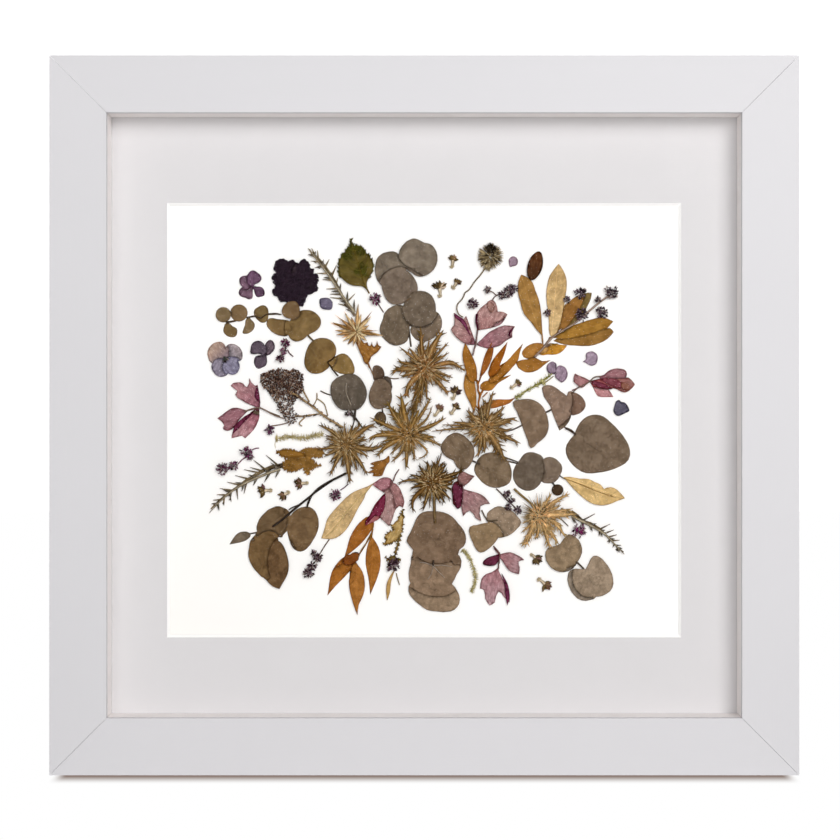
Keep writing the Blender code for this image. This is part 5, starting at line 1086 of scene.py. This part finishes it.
# Stems: width, tint, lift and the points along it.
STEMS = (
    (0.9, "5A4634", 1.0, (-134, 66.6), (-131, 66.9), (-128, 67.6)),
    (0.9, "4E3E30", 1.9, (-120, 69.8), (-115.5, 70.8), (-111, 69.5), (-108, 71.5), (-105.5, 72.3),
     (-101, 72.6), (-97, 71.8)),
    (1.1, "6B5A3C", 1.6, (-79, 57.5), (-77, 55.5), (-75, 54)),
    (1.0, "3E3020", 2.6, (-60.5, 43.5), (-63, 41), (-65.5, 39.5), (-63.5, 36.5), (-62, 34), (-58.8, 30.3)),
    (1.0, "4E443A", 1.8, (-50.5, 5), (-47.5, 1.5), (-45, -1), (-41.5, -6)),
    (0.9, "4E443A", 1.2, (-46.5, 7.3), (-47, 2), (-48.5, -4), (-50, -10)),
    (0.9, "5A4A3A", 0.8, (-70.5, 20), (-67.5, 18.5), (-63.3, 17)),
    (0.8, "6B5A4A", 0.8, (-25.5, 29.3), (-21, 28.3), (-17.2, 28.5)),
    (0.9, "8A6A44", 2.0, (-38, 38.5), (-36, 34), (-34.5, 30.5)),
    (0.8, "6A4A40", 0.8, (-32, 80.3), (-30.3, 77.5), (-27.5, 73.3)),
    (0.8, "7A6248", 2.6, (-12, 81.3), (-10.5, 82.2), (-9.2, 83)),
    (0.9, "6A5448", 0.8, (46.5, 82), (48.5, 84.5), (51, 85.5)),
    (0.7, "6A5448", 0.8, (49, 85), (46, 87.5), (43, 88)),
    (1.0, "8C7672", 2.6, (36.3, 61), (35.8, 57), (35.3, 52), (34, 48), (33, 44.5)),
    (1.0, "8A8A3C", 0.9, (63, 15.5), (66, 17.5), (70, 20.5), (75, 23), (78, 25), (82, 28), (86, 30.5)),
    (0.7, "8A7A3C", 1.0, (78, 25), (82, 25.5), (88, 30)),
    (1.5, "9E8A7C", 2.4, (75, 43), (80, 48), (84, 53), (88, 57), (95, 61.5), (101, 65), (107, 70),
     (113, 75), (119, 80), (126, 85)),
    (0.9, "7C6A5C", 2.2, (120, 29.8), (117, 29.6), (115, 28.8), (112.8, 26.8), (110, 24.7), (104.5, 22),
     (101.2, 19.2)),
    (0.8, "6A4A50", 0.9, (-93, 48), (-91.5, 45.5), (-89, 43.3)),
    (0.9, "8A7264", 2.0, (-122, 6), (-117, 7.8), (-112, 8.5), (-108, 6.8), (-103, 4), (-98.5, 2.2),
     (-95, 1.2)),
    (1.6, "A88E68", 2.2, (-93, 20), (-87, 17), (-81, 13), (-76, 9.5), (-71, 5.5), (-66, 1.5), (-60, -2),
     (-55, -5)),
    (1.1, "A08660", 2.0, (-83, 21.5), (-80, 16), (-78, 12.5)),
    (1.1, "A88E68", 2.0, (-88, 3), (-82, 2.8), (-76, 3.8), (-71, 4.3)),
    (0.9, "A88E68", 1.6, (-81, 2), (-85, -2), (-83, -4)),
    (0.8, "8A7264", 1.0, (-104.5, -4), (-98, -3), (-92, -1.5)),
    (0.8, "9A8460", 1.0, (-73, 18.5), (-73, 14.5), (-75, 10.5)),
    (0.8, "9A8460", 1.0, (-72.5, 14.5), (-69.5, 12.5), (-67.5, 10), (-65.5, 3)),
    (0.8, "7A4A5C", 0.9, (-117, -20), (-114, -19), (-112.2, -19)),
    (0.8, "7A4A5C", 0.9, (-121, -25), (-124, -27), (-127, -30), (-130, -31.3), (-134, -34)),
    (1.6, "3A322C", 2.2, (-53, -36), (-58, -38.5), (-65, -42), (-72, -46.5), (-77, -51.5), (-84, -57),
     (-90, -62), (-97, -68), (-103, -72.3)),
    (1.0, "3A322C", 1.8, (-77, -52), (-79, -56), (-79.7, -59.5)),
    (0.9, "3A322C", 2.4, (-84, -57), (-90, -59.5), (-92, -61)),
    (0.8, "6A4A54", 0.9, (-57, -47.5), (-54, -45.5), (-51.5, -43.3)),
    (0.7, "D8C08A", 1.9, (-38, -47), (-50, -59), (-62, -75), (-67, -79)),
    (0.9, "7A5A58", 1.6, (-21, -41.3), (-19.5, -37), (-17, -33.3)),
    (0.9, "9A7036", 1.9, (-34.5, -71), (-36, -78), (-39, -83), (-42.5, -88), (-44.5, -92.5)),
    (0.8, "6A5444", 0.9, (-64.5, -81), (-68, -86), (-71, -91), (-74, -96), (-77, -99.5)),
    (0.8, "7A6A44", 1.5, (-16, -77), (-18, -84), (-20, -90)),
    (0.7, "8A7448", 1.0, (-19, -104), (-18, -108), (-16.7, -112)),
    (1.2, "4A4038", 2.8, (6.3, -95), (6.2, -97), (6, -99)),
    (0.6, "A89A8C", 2.3, (6, -99), (1, -97), (-3, -96.5)),
    (0.6, "A89A8C", 2.3, (6, -99), (12, -98.5), (19, -99.5)),
    (0.6, "A89A8C", 2.3, (6, -99), (5, -104), (2.5, -108)),
    (0.6, "A89A8C", 2.3, (6, -99), (10, -103), (14, -107)),
    (2.2, "7A6444", 2.6, (6.5, -50), (6.8, -56), (7, -62), (7.3, -66), (7.5, -70)),
    (1.0, "5A4E44", 1.8, (33, -27.5), (38, -29.8)),
    (1.0, "5A4E44", 1.8, (55, -25.3), (60, -27), (64, -28.5)),
    (0.9, "5A4E44", 1.6, (92, -37.5), (94, -39), (96, -40)),
    (1.0, "4A4038", 1.8, (82.5, 5.2), (86.5, 7)),
    (1.0, "5A4E44", 1.0, (67, -3.2), (60, -6.5), (57, -6.5)),
    (1.5, "4A3E36", 2.2, (96, -5.3), (100, -7), (103, -10)),
    (1.1, "4A4038", 1.7, (87, -42.3), (89, -44.7)),
    (0.5, "A8844E", 1.9, (94, -39), (105, -43), (117, -48), (130, -52.5)),
    (1.0, "6E6050", 1.6, (39, -61), (41, -65), (43, -68.5)),
    (1.0, "6A5C4C", 2.2, (43, -68.5), (47, -68.2), (50, -68)),
    (1.1, "5E5246", 1.9, (103, -96), (106, -98.5), (108.5, -101)),
    (1.6, "8C7448", 2.0, (61, -46.5), (66, -51), (72, -56), (76, -61)),
    (1.2, "6A5C44", 1.2, (93, -60), (97, -61.5), (103, -64)),
    (0.7, "6A5444", 0.9, (101, -66), (103.5, -70)),
    (0.7, "6A5444", 0.9, (93, -67), (98, -72)),
    (1.0, "7A5A54", 2.2, (47, -85.5), (50, -88.8), (51.5, -91.5), (50.8, -96), (50.5, -101)),
    (0.9, "6A5448", 0.9, (49, -46.5), (52.5, -50), (56, -54), (60, -57.5), (63, -60.5)),
    (0.9, "7A6A50", 2.0, (41.5, 103.5), (38, 98.5), (34.5, 94.5), (31.5, 90), (30, 88.3), (27.8, 86.7),
     (26.7, 84), (25.5, 82), (22.8, 79), (22.2, 76), (22.8, 73.5), (24, 71.5), (26.5, 70)),
    (0.6, "6E5A22", 1.9, (-40.5, 92), (-43, 100), (-46, 110), (-49, 119)),
    (1.2, "8A6A3A", 1.2, (-39.5, 91), (-38.5, 88.5), (-37.3, 86.3)),
    (0.7, "A59888", 2.7, (-52.5, 25), (-53, 19), (-49.5, 10)),
    (1.2, "A0682F", 2.2, (35.8, 26.5), (36.8, 23), (36.5, 20), (38, 18), (37, 12), (37.8, 7)),
    (0.9, "A0682F", 2.2, (43, 19), (39.5, 15.5)),
    (1.2, "A0682F", 2.2, (41, 22), (38.5, 17.5), (37, 12.5)),
)

# The serrated leaf's midrib, and how far along it each pair of side veins starts and how long it is.
MIDRIB_FOOT = (-40.8, 93)
MIDRIB_AXIS = (-0.27, 0.963)
SIDE_VEINS = ((4, 9), (9, 11), (14, 9.5), (19, 7.5), (23, 5))

# Clusters of small dark calyxes: middle x, z, radius and tint.
CLUSTERS = (
    (57.5, 87.5, 4.2, "463238"), (60, 89, 3.4, "3E2C34"), (53, 85, 2.6, "4A363C"),
    (43, 88.5, 2.0, "4A343C"), (106, 86, 4.6, "3C3036"), (127, 87, 5.2, "40343C"),
    (120.5, 73, 4.6, "3E323A"), (107, 71.5, 5, "453840"), (96.8, 82, 1.8, "4A3C40"),
    (83.5, 73, 2.0, "7A5A40"), (118, 82, 1.5, "4A3C40"), (-72, -93, 3, "483236"), (-76, -99, 3, "442E34"),
    (-78.5, -104, 3.8, "4C363A"), (-75, -90.5, 1.6, "483236"), (56, -50, 2.4, "4A3438"),
    (59, -54, 1.8, "46323A"), (57, -59, 2.2, "4A3438"), (63.5, -60.5, 2.6, "46323A"),
    (-51.5, 4.8, 1.6, "4E443C"), (-105, -6.5, 3.2, "6A3C5A"), (-21.5, -98, 5.4, "4E343E"),
    (-135, 41.3, 1.5, "4A5048"), (-33.3, 82.6, 4.4, "7A3A60"), (33, 79, 4.2, "4A2C3E"),
    (-121, -21.5, 4.2, "7E3A62"), (-118, -24, 2.8, "84406A"), (-129, -31, 3.2, "7E3C64"),
    (-137, -33, 4.6, "64304C"), (-60.5, -50.5, 4.4, "7A3A5E"), (105, -75, 5.2, "7A2A5C"),
    (-94.5, 52.5, 2.8, "703456"), (-95.5, 47, 2.2, "7A3A5E"), (-97.5, 42, 2.6, "643048"),
)


def bristles(sheet, draws, path, count, lengths, tints, lift, spread, width=0.35):
    """Fine hairs that stand out on both sides of a path."""
    for _ in range(count):
        index = draws.randrange(len(path) - 1)
        foot = path[index]
        onward = path[index + 1]
        heading = turn_to(foot, onward)
        turn = heading + draws.uniform(-spread, spread)
        length = draws.uniform(*lengths)
        side = draws.uniform(-0.6, 0.6)
        foot = (foot[0] - side * math.sin(heading), foot[1] + side * math.cos(heading))
        end = away(foot, length, turn)
        sheet.blade([foot, end], (width, 0.12), draws.choice(tints), lift + draws.uniform(0, 0.8), 0.3, 0.4)


def florets(sheet, draws):
    """Trumpet florets with a short tube and a frayed mouth."""
    for x, z, end_x, end_z, width, mouth, tube in FLORETS:
        heading = turn_to((end_x, end_z), (x, z))
        end_x, end_z = x + (end_x - x) * 0.8, z + (end_z - z) * 0.8
        sheet.blade(smooth_path([(end_x, end_z), ((x + end_x) / 2 + 0.3, (z + end_z) / 2), (x, z)]),
                    (1.3, 2.0, 2.8), tube, 0.9, 0.3, 0.6)
        for lobe in range(LOBES):
            turn = heading + (lobe - LOBES // 2) * 0.3 + draws.uniform(-0.1, 0.1)
            reach = width * draws.uniform(0.5, 0.8)
            tip = away((x, z), reach, turn)
            tint = draws.choice(("4E3E28", mouth, "5E4C30", "7A6644"))
            sheet.blade([(x, z), halfway((x, z), tip), tip], (1.1, width * 0.36, 0.5), tint, 1.3, 0.4, 0.3)
        bristles(sheet, draws, [(end_x, end_z), (x, z)], TUBE_HAIRS, (1.2, 2.6), (tube, "C8B894"),
                 1.0, 0.9, 0.6)


def calyxes(sheet, draws):
    """Clusters of small dark calyxes."""
    for x, z, radius, tint in CLUSTERS:
        for _ in range(int(radius * CALYXES_PER_MM)):
            angle = draws.uniform(0, 2 * math.pi)
            spread = radius * draws.random() * 0.75
            foot = away((x, z), spread, angle)
            turn = angle + draws.uniform(-0.9, 0.9)
            length = draws.uniform(1.0, 2.3)
            end = away(foot, length, turn)
            shade = draws.choice((tint, tint, tint, "6A545C", "2A1C22", "8A7880", "A09088"))
            widths = (0.5, draws.uniform(0.7, 1.3), 0.2)
            sheet.blade([foot, halfway(foot, end), end], widths, shade, draws.uniform(2.2, 3.6), 0.3, 0.4)


class PRESSED_OT_florets(bpy.types.Operator):
    """Build the trumpet florets, loose petals, buds and calyx clusters"""

    bl_idname = "pressed.florets"
    bl_label = "Florets and buds"

    def execute(self, context):
        petals = Sheet()
        leaves = Sheet()
        for seed, (kind, lift, outline, leaf) in enumerate(PETALS):
            sheet = petals if kind == "petal" else leaves
            sheet.patch(outline, leaf, lift, LOOSE_CURL, seed * 5.1)
        finish_piece("loose_petals", petals.bm, look_of(petal_look), "mauve_petal")
        finish_piece("loose_leaves", leaves.bm, look_of(leaf_look), "golden_leaf")
        draws = random.Random(21)
        small = Sheet()
        florets(small, draws)
        calyxes(small, draws)
        finish_piece("small_florets", small.bm, look_of(bract_look), "straw", ["dark_statice_sprig"])
        return {"FINISHED"}


# Needle sprigs: the needles' length and the points along the stem.
SPRIGS = (
    (6.5, (-47.2, 73.3), (-52.5, 80.3), (-58.7, 89.2), (-65.8, 99.9), (-72.8, 108.8), (-77.9, 116.4)),
    (7.0, (-97.7, -33.1), (-104.8, -35.5), (-115.5, -39.9), (-126.1, -45.2), (-136.7, -53.2), (-146, -63)),
    (5.0, (100, -65), (107, -68.5), (113.6, -71.8), (122.5, -77.2), (129.6, -84.2), (136, -91)),
)

# The straw star's middle and the tips of its rays.
STAR_MIDDLE = (-46, 60)
RAYS = (
    (-44.9, 78.4), (-49.5, 70), (-53.7, 72.5), (-62.2, 66.4), (-60.5, 61), (-59.6, 58), (-55.1, 53.8),
    (-51.5, 51.5), (-48, 50.8), (-43.6, 49.5), (-39, 54), (-32.1, 57.8), (-27.8, 57.6), (-35, 61),
    (-36.2, 70.4), (-40.9, 68), (-37.4, 64.4), (-57, 69), (-42.8, 72),
)


def needles(sheet, draws, length, points):
    """A stem with pointed needles on both sides."""
    path = smooth_path(points, 6)
    sheet.blade(path, (1.9, 1.7, 1.3, 0.4), "A89C86", 2.1, 0.0, 0.6, "948872")
    for index in range(1, len(path) - 1, NEEDLE_EVERY):
        foot = path[index]
        onward = path[index + 1]
        heading = turn_to(foot, onward)
        for side in (-1, 1):
            turn = heading + side * draws.uniform(0.6, 1.0)
            reach = length * draws.uniform(0.9, 1.3) * (1 - 0.5 * index / len(path))
            end = away(foot, reach, turn)
            tint = draws.choice(("8A8070", "7C7262", "6A6252"))
            sheet.blade([foot, halfway(foot, end), end], (1.6, 1.3, 0.12), tint, 1.9, 0.0, 0.6, "4A4238")


# Fine sprigs and tufts: steps between points, points, core (widths, tint, lift), and hairs (count,
# lengths, tints, lift, spread, width).
FLUFF = (
    (4, ((-101, -12.3), (-95, -11.5), (-88, -11.5), (-80, -12), (-74, -10), (-69, -9.5)),
     ((0.8, 1.0), "CDBF92", 0.8),
     (280, (1.2, 3.3), ("E4DABA", "BFAF7E", "CFC092", "A8965E"), 0.8, 1.6, 0.6)),
    (4, ((-100.5, -13), (-101.5, -16), (-101, -19)), ((0.4, 0.3), "D8CDAA", 0.8), None),
    (4, ((26, -88), (29, -91), (31.5, -95), (33.5, -100), (34.5, -105), (35, -109), (33.5, -113),
         (32, -116.5)),
     ((0.7, 0.7), "C8BA86", 0.8),
     (200, (1.0, 2.8), ("DCD0A0", "BDB07A", "CCC090", "A39A60"), 0.8, 1.5, 0.55)),
    (4, ((62, 15), (66, 17.5), (70, 20.5), (75, 23), (78, 25), (82, 28), (87, 31.5)), None,
     (170, (0.9, 2.6), ("C4BC7E", "A8A05C", "D8D09C", "8E8A4A"), 1.0, 1.4, 0.6)),
    (1, ((80, 25.5), (88, 30)), None,
     (90, (1.0, 3.0), ("C4BC7E", "A89A68", "D8D09C"), 1.4, 1.4, 0.6)),
    (4, ((1, 33), (-1, 26), (-3, 18), (-5, 12), (-7, 8)), None,
     (260, (3, 8), ("6E5430", "8A6C40", "5A4426", "A08250"), 4.2, 0.75, 0.5)),
    (4, ((44, 107), (43.5, 105.5), (43, 104.5)), None,
     (70, (2, 4.5), ("B8A684", "A08E6C"), 2.0, 1.0, 0.5)),
    (4, ((40, -9), (44, -11), (48, -12)), None,
     (90, (3, 6.5), ("D8BE90", "C4A878", "E6D0A4"), 4.0, 1.6, 0.6)),
)

# Rings of the seed head: middle, radius, count, lengths, tints and lift.
SEED_RINGS = (
    ((45, 111), 5.8, 330, (2, 4.2), ("7A6A50", "5A4C3A", "A08E6C", "C4B08A"), 1.2),
    ((45, 111), 3.2, 60, (1.5, 3), ("3A3024", "B8A684", "8A7858"), 2.6),
    ((45.5, 116.5), 2.4, 90, (1.2, 2.6), ("2A2218", "3A3024", "4A3E30"), 2.8),
)


def round_bristles(sheet, draws, middle, radius, count, lengths, tints, lift):
    """Bristles that point away from a middle."""
    for _ in range(count):
        angle = draws.uniform(0, 2 * math.pi)
        near = radius * math.sqrt(draws.random())
        far = near + draws.uniform(*lengths)
        ends = [away(middle, reach, angle) for reach in (near, far)]
        widths = (draws.uniform(0.6, 1.0), 0.2)
        sheet.blade(ends, widths, draws.choice(tints), lift + draws.uniform(0, 1), 0.4, 0.5)


def side_veins(sheet):
    """Fine veins on both sides of the serrated leaf's midrib."""
    axis = Vector(MIDRIB_AXIS)
    for step, reach in SIDE_VEINS:
        for side in (-1, 1):
            start = Vector(MIDRIB_FOOT) + axis * step
            out = Vector((axis.y, -axis.x)) * side
            bend = start + (out * 0.8 + axis * 0.45) * reach * 0.5
            end = start + (out * 0.74 + axis * 0.67) * reach
            sheet.blade(smooth_path([start, bend, end]), (0.5, 0.25), "7A7030", 1.9, 0.0, 0.9)


def stems(sheet, draws):
    """Stems, the serrated leaf's side veins and the needle sprigs."""
    for width, tint, lift, *points in STEMS:
        sheet.blade(smooth_path(points), (width, width * 0.85), tint, lift, 0.0, 0.9)
    side_veins(sheet)
    for length, *points in SPRIGS:
        needles(sheet, draws, length, points)


def star_rays(sheet, draws):
    """The straw star's rays and the bristles at its middle."""
    for number, ray in enumerate(RAYS):
        foot = blend(STAR_MIDDLE, ray, 0.08)
        bend = blend(STAR_MIDDLE, ray, 0.55)
        tint = ("C8A678", "AE885C", "D8BC90", "967448")[number % 4]
        sheet.blade([foot, bend, ray], (1.4, 2.6, 0.3), tint, 2.3 + number % 3 * 0.4, 0.2, 0.5)
    pale = ("E6CFA0", "D8BC8C", "A67C4E", "F0DDB4")
    round_bristles(sheet, draws, STAR_MIDDLE, 2.5, 70, (2, 6), pale, 3.4)


def fine_sprigs(sheet, draws):
    """Fine pale sprigs and tufts of hairs."""
    for steps, points, core, hairs in FLUFF:
        path = smooth_path(points, steps)
        if core:
            sheet.blade(path, *core)
        if hairs:
            bristles(sheet, draws, path, *hairs)


def head_grains(sheet, draws):
    """The brown flower head as small grains, sparser below."""
    for x, z in points_on("brown_flower_head", HEAD_GRAINS, draws):
        if z < HEAD_SPARSE_BELOW and draws.random() < 0.5:
            continue
        turn = draws.uniform(0, 2 * math.pi)
        end = away((x, z), draws.uniform(0.5, 1.2), turn)
        shade = draws.choice(("5A443C", "6A5044", "3C2C26", "86685A", "B89C86", "4E3A34"))
        widths = (draws.uniform(0.6, 1.0), 0.5)
        sheet.blade([(x, z), end], widths, shade, draws.uniform(0.8, 3.2), 0.2, 0.6)


def seeds(sheet, draws):
    """The seed head's rings of bristles."""
    for ring in SEED_RINGS:
        round_bristles(sheet, draws, *ring)


class PRESSED_OT_stems(bpy.types.Operator):
    """Build the stems, twigs, bristles and fine sprigs"""

    bl_idname = "pressed.stems"
    bl_label = "Stems and bristles"

    def execute(self, context):
        draws = random.Random(8)
        for name, build, slot, nodes in (
            ("stems", stems, "needle_leaf", ()), ("star_rays", star_rays, "straw", ()),
            ("bristles", fine_sprigs, "straw", ()),
            ("brown_head", head_grains, "dark_petal", ["brown_flower_head"]),
            ("seeds", seeds, "straw", ["seed_head"]),
        ):
            sheet = Sheet()
            build(sheet, draws)
            finish_piece(name, sheet.bm, look_of(bract_look), slot, nodes)
        return {"FINISHED"}


# ---------------------------------------------------------------- frame and boards


class PRESSED_OT_moulding(bpy.types.Operator):
    """Build the lacquered moulding with softened edges"""

    bl_idname = "pressed.moulding"
    bl_label = "Moulding"

    def execute(self, context):
        settings = context.scene.frame_settings
        look = look_of(lacquer_look, tuple(settings.moulding_colour))
        for node in RAILS:
            piece = finish_piece(f"moulding_{node}", copy_of([node]), look, "white_lacquer", [node], False)
            bevel = piece.modifiers.new("softened edges", "BEVEL")
            bevel.width = settings.moulding_bevel
            bevel.segments = 3
            bevel.limit_method = "ANGLE"
            bevel.harden_normals = True
        return {"FINISHED"}


class PRESSED_OT_boards(bpy.types.Operator):
    """Build the spacers, mat, paper, backing and retaining tabs"""

    bl_idname = "pressed.boards"
    bl_label = "Mat, paper and backing"

    def execute(self, context):
        settings = context.scene.frame_settings
        mat = board_look("mat_face", tuple(settings.mat_colour), 0.92, 0.03, 40.0)
        liner = board_look("spacer_face", (0.95, 0.905, 0.89), 0.7, 0.04, 60.0)
        brown = board_look("backing_face", colour_of("A58A66"), 0.85, 0.3, 120.0)
        steel = Look("tab_steel", 0.35, 0.5, 1.0)
        steel.set("Base Color", (0.55, 0.55, 0.56))
        paper = paper_look(tuple(settings.paper_colour))
        core = board_look("mat_core", (0.99, 0.98, 0.97), 0.9, 0.02, 80.0)
        for name, nodes, look, slot in (
            ("spacer_strips", SPACERS, liner, "spacer_board"), ("mat", ["mat_board"], mat, "mat_board"),
            ("paper", ["mounting_paper"], paper, "mounting_paper"),
            ("backing", ["backing_board"], brown, "backing_board"),
            ("retaining_tabs", TABS, steel.material, "tab_steel"),
        ):
            piece = finish_piece(name, copy_of(nodes), look, slot, nodes, False)
            if name == "mat":
                piece.data.materials.append(core)
                for polygon in piece.data.polygons:
                    polygon.material_index = int(abs(polygon.normal.y) < -FACING_FRONT)
        return {"FINISHED"}


class PRESSED_OT_glazing(bpy.types.Operator):
    """Build the clear glass"""

    bl_idname = "pressed.glazing"
    bl_label = "Glass"

    def execute(self, context):
        finish_piece("glass", copy_of(["glazing"]), look_of(glass_look), "clear_glass", ["glazing"], False)
        return {"FINISHED"}


# ---------------------------------------------------------------- stage


def soft_light(name, place, size, power):
    """A rectangular light aimed at the middle of the frame."""
    data = bpy.data.lights.new(name, "AREA")
    data.shape = "RECTANGLE"
    data.size, data.size_y = size
    data.energy = power
    light = bpy.data.objects.new(name, data)
    light.location = place
    aim = Vector((0, 0, MIDDLE_Z)) - Vector(place)
    light.rotation_euler = aim.to_track_quat("-Z", "Y").to_euler()
    bpy.context.scene.collection.objects.link(light)
    return light


def floor_look():
    """White to the camera, with a painted contact shadow under the frame's front edge."""
    look = Look("pale_floor", 0.9, 0.0)
    x, y, _ = look.parts(look.place())
    ahead = OUTER_LOW.y - y
    beside = x.size() - OUTER_HIGH.x
    # Mask of the painted contact shadow: strongest at the frame's front edge, fading forwards and past its
    # ends.
    near = (1 - look.ramp(ahead, -0.004, 0.032)) * (1 - look.ramp(beside, -0.012, -0.002))
    near = near * look.ramp(y * -1, -0.03, 0.0)
    look.set("Base Color", (0.8, 0.79, 0.78))
    # Camera rays see the floor glowing white, darkened to the painted shadow colour by that mask.
    seen = look.node("ShaderNodeLightPath", output="Is Camera Ray")
    shade = look.mix(near, (1, 1, 1), (0.22, 0.15, 0.12))
    glow = look.node("ShaderNodeEmission", None, {"Color": shade})
    look.show_instead(seen, glow)
    return look.material


class PRESSED_OT_stage(bpy.types.Operator):
    """Set up the floor, lights, room and camera"""

    bl_idname = "pressed.stage"
    bl_label = "Stage"

    def execute(self, context):
        lights = context.scene.light_settings
        bm = bmesh.new()
        bmesh.ops.create_grid(bm, x_segments=1, y_segments=1, size=FLOOR_SIZE)
        floor = make_object("floor", bm, floor_look())
        floor.location.z = -FLOOR_DROP
        soft_light("key", (0.85, -2.3, 1.1), (0.9, 0.9), lights.key_power)
        fill = soft_light("fill", (0.0, -2.8, 0.5), (2.0, 1.4), lights.fill_power)
        fill.visible_glossy = False
        world = bpy.data.worlds.new("room")
        world.use_nodes = True
        tree = world.node_tree
        background = tree.nodes["Background"]
        path = tree.nodes.new("ShaderNodeLightPath")
        strength = tree.nodes.new("ShaderNodeMapRange")
        strength.inputs["To Min"].default_value = lights.world_strength
        strength.inputs["To Max"].default_value = BACKDROP_STRENGTH
        tree.links.new(path.outputs["Is Camera Ray"], strength.inputs["Value"])
        tree.links.new(strength.outputs[0], background.inputs["Strength"])
        background.inputs["Color"].default_value = (1, 1, 1, 1)
        context.scene.world = world
        context.scene.view_settings.view_transform = "Standard"
        data = bpy.data.cameras.new("camera")
        data.lens = CAMERA_LENS
        data.sensor_width = CAMERA_SENSOR
        camera = bpy.data.objects.new("camera", data)
        camera.location = CAMERA_PLACE
        camera.rotation_euler = (math.pi / 2, 0, 0)
        context.scene.collection.objects.link(camera)
        context.scene.camera = camera
        return {"FINISHED"}


# ---------------------------------------------------------------- add-on


class PRESSED_PT_panel(bpy.types.Panel):
    """Lists the steps that build the frame"""

    bl_label = "Pressed flower frame"
    bl_idname = "PRESSED_PT_panel"
    bl_space_type = "VIEW_3D"
    bl_region_type = "UI"
    bl_category = "Pressed frame"

    def draw(self, context):
        column = self.layout.column()
        for group in ("frame_settings", "plant_settings", "light_settings"):
            settings = getattr(context.scene, group)
            for name in settings.__annotations__:
                column.prop(settings, name)
        for operator in OPERATORS:
            column.operator(operator.bl_idname)


OPERATORS = (
    PRESSED_OT_moulding, PRESSED_OT_boards, PRESSED_OT_glazing, PRESSED_OT_plants,
    PRESSED_OT_hollies, PRESSED_OT_florets, PRESSED_OT_stems, PRESSED_OT_stage,
)
SETTINGS = {
    "frame_settings": FrameSettings, "plant_settings": PlantSettings, "light_settings": LightSettings,
}


def register():
    for kind in (*SETTINGS.values(), *OPERATORS, PRESSED_PT_panel):
        bpy.utils.register_class(kind)
    for name, kind in SETTINGS.items():
        setattr(bpy.types.Scene, name, bpy.props.PointerProperty(type=kind))


def unregister():
    for name in SETTINGS:
        delattr(bpy.types.Scene, name)
    for kind in (PRESSED_PT_panel, *reversed(OPERATORS), *SETTINGS.values()):
        bpy.utils.unregister_class(kind)


def main():
    register()
    for operator in OPERATORS:
        group, name = operator.bl_idname.split(".")
        getattr(getattr(bpy.ops, group), name)()


if __name__ == "__main__":
    main()
